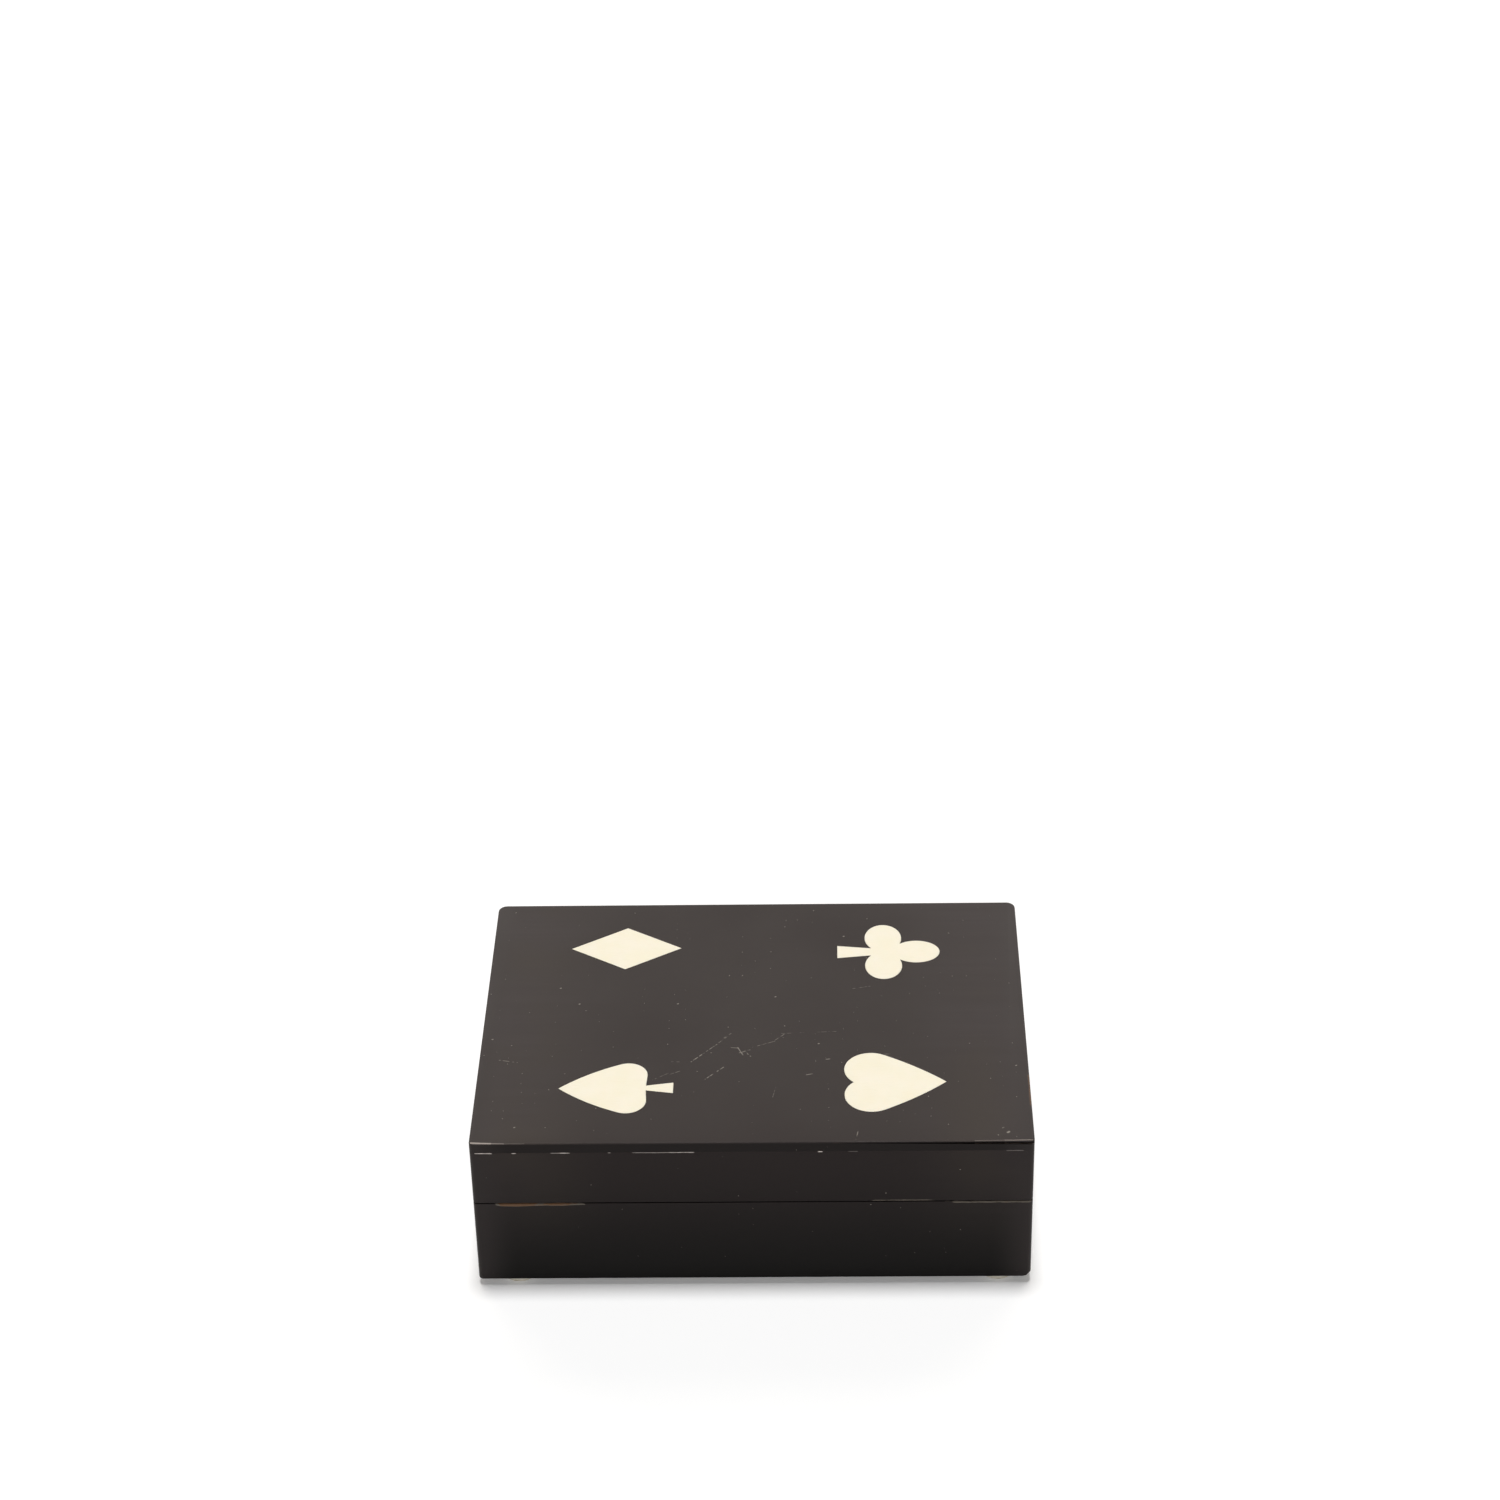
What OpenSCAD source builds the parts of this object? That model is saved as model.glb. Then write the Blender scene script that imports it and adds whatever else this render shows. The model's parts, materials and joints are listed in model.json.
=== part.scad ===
// Playing card box: a hinged wooden case for two decks of cards, side by side.
// The four card suits are let into the top of the lid.
// Millimetres. The box stands on its feet at Z = 0, its front looks along -Y,
// its hinges are at the back, and its middle is at X = 0, Y = 0.

/* [Box] */
// Outside width of the box, from left to right
box_width = 152; // [140:1:180]
// Outside depth of the box, from front to back
box_depth = 111; // [100:1:140]
// Height of the base walls, from their underside to the seam
base_height = 27; // [22:0.5:40]
// Height of the lid walls, from the seam to the underside of the top
lid_height = 17.6; // [12:0.1:30]
// Thickness of the four walls of the base and of the lid
wall_thickness = 8; // [7.5:0.1:10]
// Thickness of the board that closes the lid
top_thickness = 3.1; // [2.5:0.1:6]
// Radius of the upright corners of the box
corner_radius = 2; // [1.2:0.1:4]
// Radius of the edge round the top of the lid
top_edge_radius = 1; // [0.4:0.1:1.1]

/* [Inside] */
// Thickness of the floor board
floor_thickness = 4; // [3:0.1:6]
// Width of the step in the walls that holds the floor board
floor_rebate = 3.5; // [2:0.1:5]
// Gap between the edge of the floor board and its step
floor_gap = 0.1; // [0.05:0.05:0.3]
// Thickness of the board between the two decks
divider_thickness = 4; // [3:0.1:6]
// Distance from the seam down to the top of the divider
divider_drop = 3; // [1:0.5:8]
// Depth of the grooves in the front and back walls that hold the divider
divider_groove = 2; // [1:0.1:3]
// Gap round the divider in its grooves
divider_gap = 0.1; // [0.05:0.05:0.3]
// Thickness of the felt on the floor of each well
felt_thickness = 1; // [0.6:0.1:2]
// Gap between the edge of the felt and the sides of its well
felt_gap = 0.4; // [0.3:0.1:1]

/* [Feet] */
// Diameter of each foot
foot_diameter = 9.5; // [7:0.5:12]
// Height of each foot
foot_height = 2; // [1:0.1:4]
// Radius of the lower edge of each foot
foot_edge_radius = 0.7; // [0.2:0.1:0.9]
// Distance from the left side of the box to the middle of the left feet
left_foot_inset = 11; // [7:0.5:20]
// Distance from the right side of the box to the middle of the right feet
right_foot_inset = 9; // [7:0.5:20]
// Distance from the front and back of the box to the middle of the feet
foot_setback = 6; // [6:0.5:20]

/* [Inlays] */
// Thickness of the four inlays
inlay_thickness = 1.2; // [0.8:0.1:1.8]
// Gap between each inlay and its pocket
inlay_gap = 0.05; // [0.03:0.01:0.15]
// Distance from the side of the box to the outer tip of each inlay
inlay_side_inset = 22.8; // [15:0.1:28]
// Distance from the back of the box to the middle line of the diamond
diamond_inset = 22; // [18:0.5:28]
// Length of the diamond
diamond_length = 31.8; // [24:0.1:36]
// Width of the diamond
diamond_width = 20.2; // [14:0.1:24]
// Distance from the back of the box to the middle line of the club
club_inset = 24.5; // [20:0.5:28]
// Length of the club's head leaf
club_head_length = 13.5; // [11:0.1:15]
// Width of the club's head leaf
club_head_width = 10.6; // [9:0.1:12]
// Width of each side leaf of the club, along the club
club_leaf_width = 10.6; // [9:0.1:12]
// Length of each side leaf of the club, across the club
club_leaf_length = 13; // [12:0.1:14]
// Distance from the tip of the head leaf to the middle of the side leaves
club_leaf_place = 16.25; // [15:0.05:17.5]
// Distance from the middle line of the club to the middle of each side leaf
club_leaf_spread = 6.7; // [6:0.1:7.2]
// Whole length of the club, to the end of its stalk
club_length = 29.5; // [26:0.1:34]
// Width of the end of the club's stalk
club_stalk_end = 5.9; // [4:0.1:8]
// Width of the club's stalk where it meets the leaves
club_stalk_neck = 3.6; // [2.8:0.1:4.5]
// Distance of that neck inside the outer edge of the side leaves
club_neck_sink = 1.1; // [0.6:0.1:2]
// Distance from the front of the box to the middle line of the spade
spade_inset = 23.9; // [20:0.1:30]
// Distance from the tip of the spade to the middle of its round shoulders
spade_shoulder_place = 18.85; // [16:0.05:21]
// Distance from the middle line of the spade to the middle of each shoulder
spade_shoulder_spread = 5.55; // [4.8:0.05:6.5]
// Radius of the shoulders of the spade
spade_shoulder_radius = 5.45; // [4.8:0.05:6.5]
// Radius of the long curved sides of the spade
spade_side_radius = 58; // [40:1:120]
// Depth of the dent between the shoulders, where the stalk starts
spade_dent = 0.3; // [0.1:0.1:1]
// Whole length of the spade, to the end of its stalk
spade_length = 31.5; // [28:0.1:36]
// Width of the spade's stalk at the shoulders
spade_stalk_neck = 2.1; // [1.5:0.1:3]
// Width of the end of the spade's stalk
spade_stalk_end = 4.65; // [3:0.05:6]
// Distance from the front of the box to the middle line of the heart
heart_inset = 25.9; // [20:0.1:30]
// Distance from the tip of the heart to the middle of its round lobes
heart_lobe_place = 20.6; // [17:0.1:23]
// Distance from the middle line of the heart to the middle of each lobe
heart_lobe_spread = 5.6; // [4.8:0.1:6.4]
// Radius of the lobes of the heart
heart_lobe_radius = 7.4; // [6.8:0.1:8]
// Radius of the long curved sides of the heart
heart_side_radius = 88; // [60:1:200]

/* [Hinges] */
// Length of each hinge
hinge_length = 22; // [18:1:30]
// Distance from the side of the box to the middle of each hinge
hinge_inset = 30; // [20:1:45]
// Number of knuckles on each hinge
knuckle_count = 5; // [3, 5, 7]
// Outside diameter of the knuckles
knuckle_diameter = 3.2; // [2.8:0.1:3.6]
// Axial gap between neighbouring knuckles
knuckle_gap = 0.15; // [0.1:0.05:0.3]
// Distance of the knuckles inside the back face of the box
knuckle_recess = 0.2; // [0.1:0.05:0.5]
// Diameter of the hinge pins
pin_diameter = 1.5; // [1.2:0.1:1.8]
// Radial gap between a pin and its knuckles
pin_gap = 0.05; // [0.02:0.01:0.1]
// Thickness of the hinge leaves
leaf_thickness = 1; // [0.8:0.1:1.2]
// Distance from the pin's axis to the inner edge of a leaf
leaf_reach = 5.2; // [5:0.1:5.5]
// Distance of each leaf's face below the rim it is let into
leaf_sink = 0.1; // [0.05:0.05:0.3]
// Gap between the knuckles and the wood and plates that they turn past
knuckle_relief = 0.25; // [0.2:0.05:0.4]
// Gap round a leaf in its recess
leaf_gap = 0.1; // [0.05:0.05:0.2]
// Angle at which the bevelled back edges stop the lid
opening_angle = 100; // [90:1:110]
// Gap left between the bevels at that angle
stop_gap = 0.2; // [0.1:0.05:0.4]

/* [Screws] */
// Diameter of the hinge screws
screw_diameter = 1.4; // [1:0.1:1.6]
// Diameter of the screw heads
screw_head_diameter = 2.6; // [2.2:0.1:2.8]
// Whole length of the screws
screw_length = 5.5; // [4:0.5:8]
// Distance between the two screws of a leaf
screw_spacing = 13; // [10:0.5:15]
// Width of the slot in each screw head
screw_slot_width = 0.4; // [0.3:0.05:0.5]
// Depth of the slot in each screw head
screw_slot_depth = 0.35; // [0.2:0.05:0.5]
// Radial gap between a screw and its hole
screw_gap = 0.03; // [0.02:0.01:0.06]

/* [Hidden] */
// Heights above the floor
underside_z = foot_height;
seam_z = underside_z + base_height;
top_board_z = seam_z + lid_height;
top_z = top_board_z + top_thickness;

// The hinge line, and the slope of the bevels that stop the lid
knuckle_radius = knuckle_diameter / 2;
pin_radius = pin_diameter / 2;
hinge_setback = knuckle_radius + knuckle_recess;
hinge_y = box_depth / 2 - hinge_setback;
hinge_x = box_width / 2 - hinge_inset;
bevel_angle = opening_angle / 2;
knuckle_pitch = (hinge_length + knuckle_gap) / knuckle_count;
plate_start = knuckle_radius + knuckle_relief;
screw_y = -(plate_start + leaf_reach) / 2;

// The wells between the walls and the divider
inner_depth = box_depth - 2 * wall_thickness;
well_width = (box_width - 2 * wall_thickness - divider_thickness) / 2;
well_x = (well_width + divider_thickness) / 2;
well_floor_z = underside_z + floor_thickness;

// Length by which a cut runs past the solid it cuts
past = 1;
// Half the width of the screw's tip, and the length of its point
screw_tip_radius = 0.2;
screw_point = 1.2;
// Straight steps in each curved stretch of an inlay's outline
curve_steps = 20;

black_wood = "#2a2624";
brown_wood = "#8a6642";
bone = "#f1e9cf";
felt_green = "#1f4a34";
brass = "#b5913f";
foot_cream = "#cdb994";

$fn = 48;

// Shared shapes

// A bar that runs along X, with its section drawn in Y and Z
module bar_along_x(length) {
    rotate([90, 0, 90])
        linear_extrude(height = length, center = true)
            children();
}

// A block with round upright corners, standing on Z = 0
module round_cornered_block(width, depth, height) {
    translate([-width / 2 + corner_radius, -depth / 2, 0])
        cube([width - 2 * corner_radius, depth, height]);
    translate([-width / 2, -depth / 2 + corner_radius, 0])
        cube([width, depth - 2 * corner_radius, height]);
    for (x = [-1, 1], y = [-1, 1])
        translate([x * (width / 2 - corner_radius), y * (depth / 2 - corner_radius), 0])
            cylinder(r = corner_radius, h = height);
}

// The wedge that the bevel takes off the back edge above the seam line
module bevel_wedge() {
    outer = hinge_setback + past;
    translate([0, hinge_y, seam_z])
        bar_along_x(box_width + 2 * past)
            polygon([
                [-(stop_gap / 2 + past * cos(bevel_angle)) / sin(bevel_angle), past],
                [outer, past],
                [outer, -(stop_gap / 2 + outer * sin(bevel_angle)) / cos(bevel_angle)]
            ]);
}

// Turns a shape of the base over the hinge line, so that it serves the lid
module over_the_seam() {
    translate([0, 0, 2 * seam_z])
        mirror([0, 0, 1])
            children();
}

// One wall of a mitred frame. Its section is drawn from its outer face inwards,
// and side is its place round the box: 0 front, 1 right, 2 back, 3 left.
module mitred_wall(side) {
    across = side % 2 == 0;
    run = across ? box_width : box_depth;
    span = across ? box_depth : box_width;
    rotate([0, 0, 90 * side])
        intersection() {
            translate([0, -span / 2, 0])
                bar_along_x(run)
                    children();
            translate([0, -span / 2, 0])
                linear_extrude(height = top_z)
                    polygon([
                        [-run / 2, 0],
                        [run / 2, 0],
                        [run / 2 - wall_thickness, wall_thickness],
                        [-run / 2 + wall_thickness, wall_thickness]
                    ]);
            round_cornered_block(run, span, top_z);
        }
}

// Section of a base wall, with the step for the floor board
module base_wall_section() {
    polygon([
        [0, underside_z],
        [wall_thickness - floor_rebate, underside_z],
        [wall_thickness - floor_rebate, well_floor_z],
        [wall_thickness, well_floor_z],
        [wall_thickness, seam_z],
        [0, seam_z]
    ]);
}

// Section of a lid wall
module lid_wall_section() {
    translate([0, seam_z])
        square([wall_thickness, lid_height]);
}

// The groove for the divider, across the whole inside of the base
module divider_slot() {
    slot_width = divider_thickness + 2 * divider_gap;
    slot_depth = inner_depth + 2 * divider_groove;
    translate([-slot_width / 2, -slot_depth / 2, well_floor_z])
        cube([slot_width, slot_depth, base_height]);
}

// Base

module floor_board() {
    width = box_width - 2 * (wall_thickness - floor_rebate) - 2 * floor_gap;
    depth = box_depth - 2 * (wall_thickness - floor_rebate) - 2 * floor_gap;
    color(brown_wood)
        translate([-width / 2, -depth / 2, underside_z])
            cube([width, depth, floor_thickness]);
}

module base_front_wall() {
    color(black_wood)
        difference() {
            mitred_wall(0) base_wall_section();
            divider_slot();
        }
}

module base_side_wall(side) {
    color(black_wood)
        difference() {
            mitred_wall(side) base_wall_section();
            bevel_wedge();
        }
}

module base_back_wall() {
    color(black_wood)
        difference() {
            mitred_wall(2) base_wall_section();
            divider_slot();
            bevel_wedge();
            both_hinges() leaf_recess();
        }
}

module card_divider() {
    slack = 2 * divider_gap;
    length = inner_depth + 2 * divider_groove - slack;
    height = base_height - floor_thickness - divider_drop;
    color(brown_wood)
        translate([-divider_thickness / 2, -length / 2, well_floor_z])
            cube([divider_thickness, length, height]);
}

module well_felt(side) {
    width = well_width - 2 * felt_gap;
    depth = inner_depth - 2 * felt_gap;
    color(felt_green)
        translate([side * well_x - width / 2, -depth / 2, well_floor_z])
            cube([width, depth, felt_thickness]);
}

module foot(x_side, y_side) {
    inset = x_side < 0 ? left_foot_inset : right_foot_inset;
    radius = foot_diameter / 2;
    flat_radius = radius - foot_edge_radius;
    color(foot_cream)
        translate([x_side * (box_width / 2 - inset), y_side * (box_depth / 2 - foot_setback), 0])
            rotate_extrude() {
                square([flat_radius, foot_height]);
                translate([0, foot_edge_radius])
                    square([radius, foot_height - foot_edge_radius]);
                intersection() {
                    translate([flat_radius, foot_edge_radius])
                        circle(r = foot_edge_radius);
                    square([radius, foot_edge_radius]);
                }
            }
}

// Hinges. Each is drawn about its own middle, with the pin along X at Y = 0, Z = 0
// and the base side below.

// Moves a hinge piece to the left hinge (-1) or the right hinge (1)
module at_hinge(side) {
    translate([side * hinge_x, hinge_y, seam_z])
        children();
}

module both_hinges() {
    for (side = [-1, 1])
        at_hinge(side)
            children();
}

module rod_along_x(radius, length) {
    rotate([0, 90, 0])
        cylinder(r = radius, h = length, center = true);
}

module at_leaf_screws() {
    for (side = [-1, 1])
        translate([side * screw_spacing / 2, screw_y, -leaf_sink])
            children();
}

// The countersunk body of a screw, head up, with a gap round it for its hole
module screw_body(gap) {
    head_radius = screw_head_diameter / 2;
    shank_radius = screw_diameter / 2;
    head_depth = head_radius - shank_radius;
    rotate_extrude()
        polygon([
            [0, 0],
            [head_radius + gap, 0],
            [shank_radius + gap, -head_depth],
            [shank_radius + gap, -screw_length + screw_point],
            [screw_tip_radius + gap, -screw_length - gap],
            [0, -screw_length - gap]
        ]);
}

module screw() {
    difference() {
        screw_body(0);
        translate([0, 0, -screw_slot_depth / 2])
            cube([screw_head_diameter + past, screw_slot_width, screw_slot_depth], center = true);
    }
}

// What is cut from a back wall for one leaf: its flat recess, a round groove
// for the knuckles, and the holes for its screws
module leaf_recess() {
    half_length = hinge_length / 2 + leaf_gap;
    depth = leaf_thickness + leaf_sink;
    translate([-half_length, -leaf_reach - leaf_gap, -depth])
        cube([2 * half_length, leaf_reach + leaf_gap, depth + past]);
    rod_along_x(knuckle_radius + knuckle_relief, 2 * half_length);
    at_leaf_screws()
        screw_body(screw_gap);
}

// The base leaf has the odd knuckles, and the lid leaf has the even ones
module hinge_leaf(first_knuckle) {
    plate_width = leaf_reach - plate_start;
    difference() {
        union() {
            translate([-hinge_length / 2, -leaf_reach, -leaf_sink - leaf_thickness])
                cube([hinge_length, plate_width, leaf_thickness]);
            for (i = [first_knuckle : 2 : knuckle_count - 1])
                translate([-hinge_length / 2 + i * knuckle_pitch, 0, 0])
                    knuckle_and_tongue();
        }
        rod_along_x(pin_radius + pin_gap, hinge_length + past);
        at_leaf_screws()
            screw_body(screw_gap);
    }
}

module knuckle_and_tongue() {
    length = knuckle_pitch - knuckle_gap;
    translate([length / 2, 0, 0])
        rod_along_x(knuckle_radius, length);
    translate([0, -plate_start, -leaf_sink - leaf_thickness])
        cube([length, plate_start, leaf_thickness]);
}

module hinge_base_leaf(side) {
    color(brass)
        at_hinge(side)
            hinge_leaf(0);
}

module hinge_lid_leaf(side) {
    color(brass)
        over_the_seam()
            at_hinge(side)
                hinge_leaf(1);
}

module hinge_pin(side) {
    color(brass)
        at_hinge(side)
            rod_along_x(pin_radius, hinge_length);
}

module base_hinge_screws() {
    color(brass)
        both_hinges()
            at_leaf_screws()
                screw();
}

module lid_hinge_screws() {
    color(brass)
        over_the_seam()
            both_hinges()
                at_leaf_screws()
                    screw();
}

// Lid

module lid_front_wall() {
    color(black_wood)
        mitred_wall(0) lid_wall_section();
}

module lid_side_wall(side) {
    color(black_wood)
        difference() {
            mitred_wall(side) lid_wall_section();
            over_the_seam() bevel_wedge();
        }
}

module lid_back_wall() {
    color(black_wood)
        difference() {
            mitred_wall(2) lid_wall_section();
            over_the_seam() {
                bevel_wedge();
                both_hinges() leaf_recess();
            }
        }
}

// Section of the top board with its upper edges rounded
module top_board_section(width) {
    square_width = width - 2 * top_edge_radius;
    translate([-width / 2, 0])
        square([width, top_thickness - top_edge_radius]);
    translate([-square_width / 2, 0])
        square([square_width, top_thickness]);
    for (side = [-1, 1])
        translate([side * square_width / 2, top_thickness - top_edge_radius])
            circle(r = top_edge_radius);
}

// One upright corner of the top board
module top_board_corner() {
    inner_radius = corner_radius - top_edge_radius;
    rotate_extrude() {
        square([inner_radius, top_thickness]);
        square([corner_radius, top_thickness - top_edge_radius]);
        intersection() {
            translate([inner_radius, top_thickness - top_edge_radius])
                circle(r = top_edge_radius);
            square([corner_radius, top_thickness]);
        }
    }
}

module lid_top_board() {
    corner_x = box_width / 2 - corner_radius;
    corner_y = box_depth / 2 - corner_radius;
    color(black_wood)
        difference() {
            translate([0, 0, top_board_z]) {
                bar_along_x(2 * corner_x)
                    top_board_section(box_depth);
                rotate([0, 0, 90])
                    bar_along_x(2 * corner_y)
                        top_board_section(box_width);
                for (x = [-1, 1], y = [-1, 1])
                    translate([x * corner_x, y * corner_y, 0])
                        top_board_corner();
            }
            inlay_pocket() diamond_outline(inlay_gap);
            inlay_pocket() club_outline(inlay_gap);
            inlay_pocket() spade_outline(inlay_gap);
            inlay_pocket() heart_outline(inlay_gap);
        }
}

// Inlays. Each outline is drawn with its tip at the origin and its body along +X,
// is put in its place on the lid, and can be made larger all round for its pocket.

function arc_points(centre, radius, from_angle, to_angle) = [
    for (i = [0 : curve_steps])
        let (angle = from_angle + (to_angle - from_angle) * i / curve_steps)
            centre + radius * [cos(angle), sin(angle)]
];

function mirrored_outline(half) = concat(
    half,
    [for (i = [len(half) - 1 : -1 : 0]) [half[i].x, -half[i].y]]
);

// Middle of the large circle that passes through the tip at the origin
// and touches the round lobe from outside
function side_centre(lobe, lobe_radius, side_radius) =
    let (
        reach = norm(lobe),
        along = (side_radius ^ 2 - (side_radius - lobe_radius) ^ 2 + reach ^ 2) / (2 * reach),
        aside = sqrt(side_radius ^ 2 - along ^ 2)
    )
    along * lobe / reach + aside * [lobe.y, -lobe.x] / reach;

// Half an outline: from the tip along the curved side and round the lobe
function lobed_half(lobe, lobe_radius, side_radius, end_angle, grow) =
    let (
        centre = side_centre(lobe, lobe_radius, side_radius),
        large = side_radius + grow,
        tip_x = centre.x - sqrt(large ^ 2 - centre.y ^ 2),
        tip_angle = atan2(-centre.y, tip_x - centre.x),
        touch_angle = atan2(lobe.y - centre.y, lobe.x - centre.x)
    )
    concat(
        arc_points(centre, large, tip_angle, touch_angle),
        arc_points(lobe, lobe_radius + grow, touch_angle, end_angle)
    );

// Puts an outline on the lid: x_side and y_side give its corner of the lid,
// and inset its distance from the front or the back
module on_lid(x_side, y_side, inset) {
    translate([x_side * (box_width / 2 - inlay_side_inset), y_side * (box_depth / 2 - inset)])
        rotate([0, 0, x_side > 0 ? 180 : 0])
            children();
}

module diamond_outline(grow) {
    half_angle = atan2(diamond_width, diamond_length);
    long_half = diamond_length / 2 + grow / sin(half_angle);
    wide_half = diamond_width / 2 + grow / cos(half_angle);
    on_lid(-1, 1, diamond_inset)
        translate([diamond_length / 2, 0])
            polygon([[-long_half, 0], [0, -wide_half], [long_half, 0], [0, wide_half]]);
}

module leaf_outline(centre, length, width) {
    polygon([
        for (i = [1 : 2 * curve_steps])
            let (angle = 180 * i / curve_steps)
                centre + [length / 2 * cos(angle), width / 2 * sin(angle)]
    ]);
}

module club_outline(grow) {
    end_half = club_stalk_end / 2 + grow;
    neck_half = club_stalk_neck / 2 + grow;
    neck_x = club_leaf_place + club_leaf_width / 2 - club_neck_sink;
    on_lid(1, 1, club_inset) {
        leaf_outline([club_head_length / 2, 0], club_head_length + 2 * grow, club_head_width + 2 * grow);
        for (side = [-1, 1])
            leaf_outline(
                [club_leaf_place, side * club_leaf_spread],
                club_leaf_width + 2 * grow,
                club_leaf_length + 2 * grow
            );
        polygon([
            [club_head_length / 2, -neck_half],
            [neck_x, -neck_half],
            [club_length + grow, -end_half],
            [club_length + grow, end_half],
            [neck_x, neck_half],
            [club_head_length / 2, neck_half]
        ]);
    }
}

module spade_outline(grow) {
    shoulder = [spade_shoulder_place, spade_shoulder_spread];
    root_x = spade_shoulder_place + spade_shoulder_radius - spade_dent;
    stalk = [
        [root_x + grow, spade_stalk_neck / 2 + grow],
        [spade_length + grow, spade_stalk_end / 2 + grow]
    ];
    body = lobed_half(shoulder, spade_shoulder_radius, spade_side_radius, 0, grow);
    on_lid(-1, -1, spade_inset)
        polygon(mirrored_outline(concat(body, stalk)));
}

module heart_outline(grow) {
    lobe = [heart_lobe_place, heart_lobe_spread];
    notch_angle = -asin(heart_lobe_spread / (heart_lobe_radius + grow));
    on_lid(1, -1, heart_inset)
        polygon(mirrored_outline(
            lobed_half(lobe, heart_lobe_radius, heart_side_radius, notch_angle, grow)
        ));
}

module inlay_pocket() {
    translate([0, 0, top_z - inlay_thickness])
        linear_extrude(height = inlay_thickness + past)
            children();
}

module inlay() {
    color(bone)
        translate([0, 0, top_z - inlay_thickness])
            linear_extrude(height = inlay_thickness)
                children();
}

floor_board();
base_front_wall();
base_back_wall();
base_side_wall(3);  // base_left_wall
base_side_wall(1);  // base_right_wall
card_divider();
well_felt(-1);  // left_well_felt
well_felt(1);  // right_well_felt
foot(-1, -1);  // front_left_foot
foot(1, -1);  // front_right_foot
foot(-1, 1);  // back_left_foot
foot(1, 1);  // back_right_foot
hinge_base_leaf(-1);  // left_hinge_base_leaf
hinge_base_leaf(1);  // right_hinge_base_leaf
hinge_pin(-1);  // left_hinge_pin
hinge_pin(1);  // right_hinge_pin
base_hinge_screws();
lid_top_board();
lid_front_wall();
lid_back_wall();
lid_side_wall(3);  // lid_left_wall
lid_side_wall(1);  // lid_right_wall
inlay() diamond_outline(0);  // diamond_inlay
inlay() club_outline(0);  // club_inlay
inlay() spade_outline(0);  // spade_inlay
inlay() heart_outline(0);  // heart_inlay
hinge_lid_leaf(-1);  // left_hinge_lid_leaf
hinge_lid_leaf(1);  // right_hinge_lid_leaf
lid_hinge_screws();
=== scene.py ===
# %% [markdown]
# # A playing card box in blackened wood
#
# The real object is a small hinged case for two decks of cards. Its boards are pear wood,
# stained black, waxed, and rubbed back to brown where hands and the table touch it. Four
# card suits cut from bone are let into the lid.
#
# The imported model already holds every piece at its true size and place. This file dresses
# it: it eases the edges, gives each piece the finish of its real material, and lights it.
# Everything is measured in millimetres here and turned to metres once, as meshes are made.

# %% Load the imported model
import json
import math

import bmesh
import bpy
from mathutils import Matrix, Vector, noise


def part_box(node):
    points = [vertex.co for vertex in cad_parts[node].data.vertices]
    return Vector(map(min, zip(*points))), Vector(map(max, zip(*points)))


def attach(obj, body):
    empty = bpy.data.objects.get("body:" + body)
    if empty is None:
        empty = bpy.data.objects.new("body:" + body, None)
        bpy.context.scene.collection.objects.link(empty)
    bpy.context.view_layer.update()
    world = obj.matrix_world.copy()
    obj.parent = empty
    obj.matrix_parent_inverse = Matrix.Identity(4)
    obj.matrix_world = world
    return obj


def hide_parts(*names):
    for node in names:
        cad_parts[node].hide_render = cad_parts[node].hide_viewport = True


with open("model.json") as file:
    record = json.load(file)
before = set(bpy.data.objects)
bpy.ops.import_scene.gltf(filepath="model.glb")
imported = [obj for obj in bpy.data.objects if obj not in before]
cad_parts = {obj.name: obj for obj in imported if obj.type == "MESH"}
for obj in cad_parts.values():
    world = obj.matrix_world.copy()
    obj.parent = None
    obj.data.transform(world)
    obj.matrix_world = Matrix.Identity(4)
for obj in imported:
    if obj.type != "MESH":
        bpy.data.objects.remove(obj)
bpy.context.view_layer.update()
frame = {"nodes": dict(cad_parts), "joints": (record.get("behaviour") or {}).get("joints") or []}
scene = bpy.context.scene
MM = 0.001
print("Pieces in the packed model:", len(frame["nodes"]))

# %% [markdown]
# ## The camera
#
# The photograph looks down on the box from the front, a little from the right. The place
# and the lens were worked out from the corners of the box in the picture, with the sizes of
# the model held. A long lens far away keeps the sides of the box nearly parallel. The
# camera is turned by three directions that stand square to each other: the way it looks,
# its upper side and its right side.

# %% Set up the camera
camera_place = Vector((21.46, -780.39, 638.87)) * MM
turn, tilt, roll = (math.radians(angle) for angle in (1.528, 32.626, -1.32))
forward = Vector((
    -math.sin(turn) * math.cos(tilt), math.cos(turn) * math.cos(tilt), -math.sin(tilt),
))
level = Vector((math.cos(turn), math.sin(turn), 0))
upright = level.cross(forward)
rightward = level * math.cos(roll) + upright * math.sin(roll)
upward = upright * math.cos(roll) - level * math.sin(roll)

camera = bpy.data.objects.new("camera", bpy.data.cameras.new("camera"))
camera.data.sensor_width = 36
camera.data.lens = 83.141
camera.data.clip_start = 0.05
aim = Matrix((rightward, upward, -forward)).transposed().to_4x4()
camera.matrix_world = Matrix.Translation(camera_place) @ aim
scene.collection.objects.link(camera)
scene.camera = camera
scene.view_settings.view_transform = "Standard"
print("The camera stands", round(camera_place.length, 2), "m from the middle of the box")

# %% [markdown]
# ## Nodes in one line each
#
# A material or a lighting set-up is a small network of nodes. One helper adds a node, sets
# its options, and fills its inputs with a number or with the output of an earlier node.
# A colour is written as a designer writes it, in hex, and is turned to linear light once.

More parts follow.
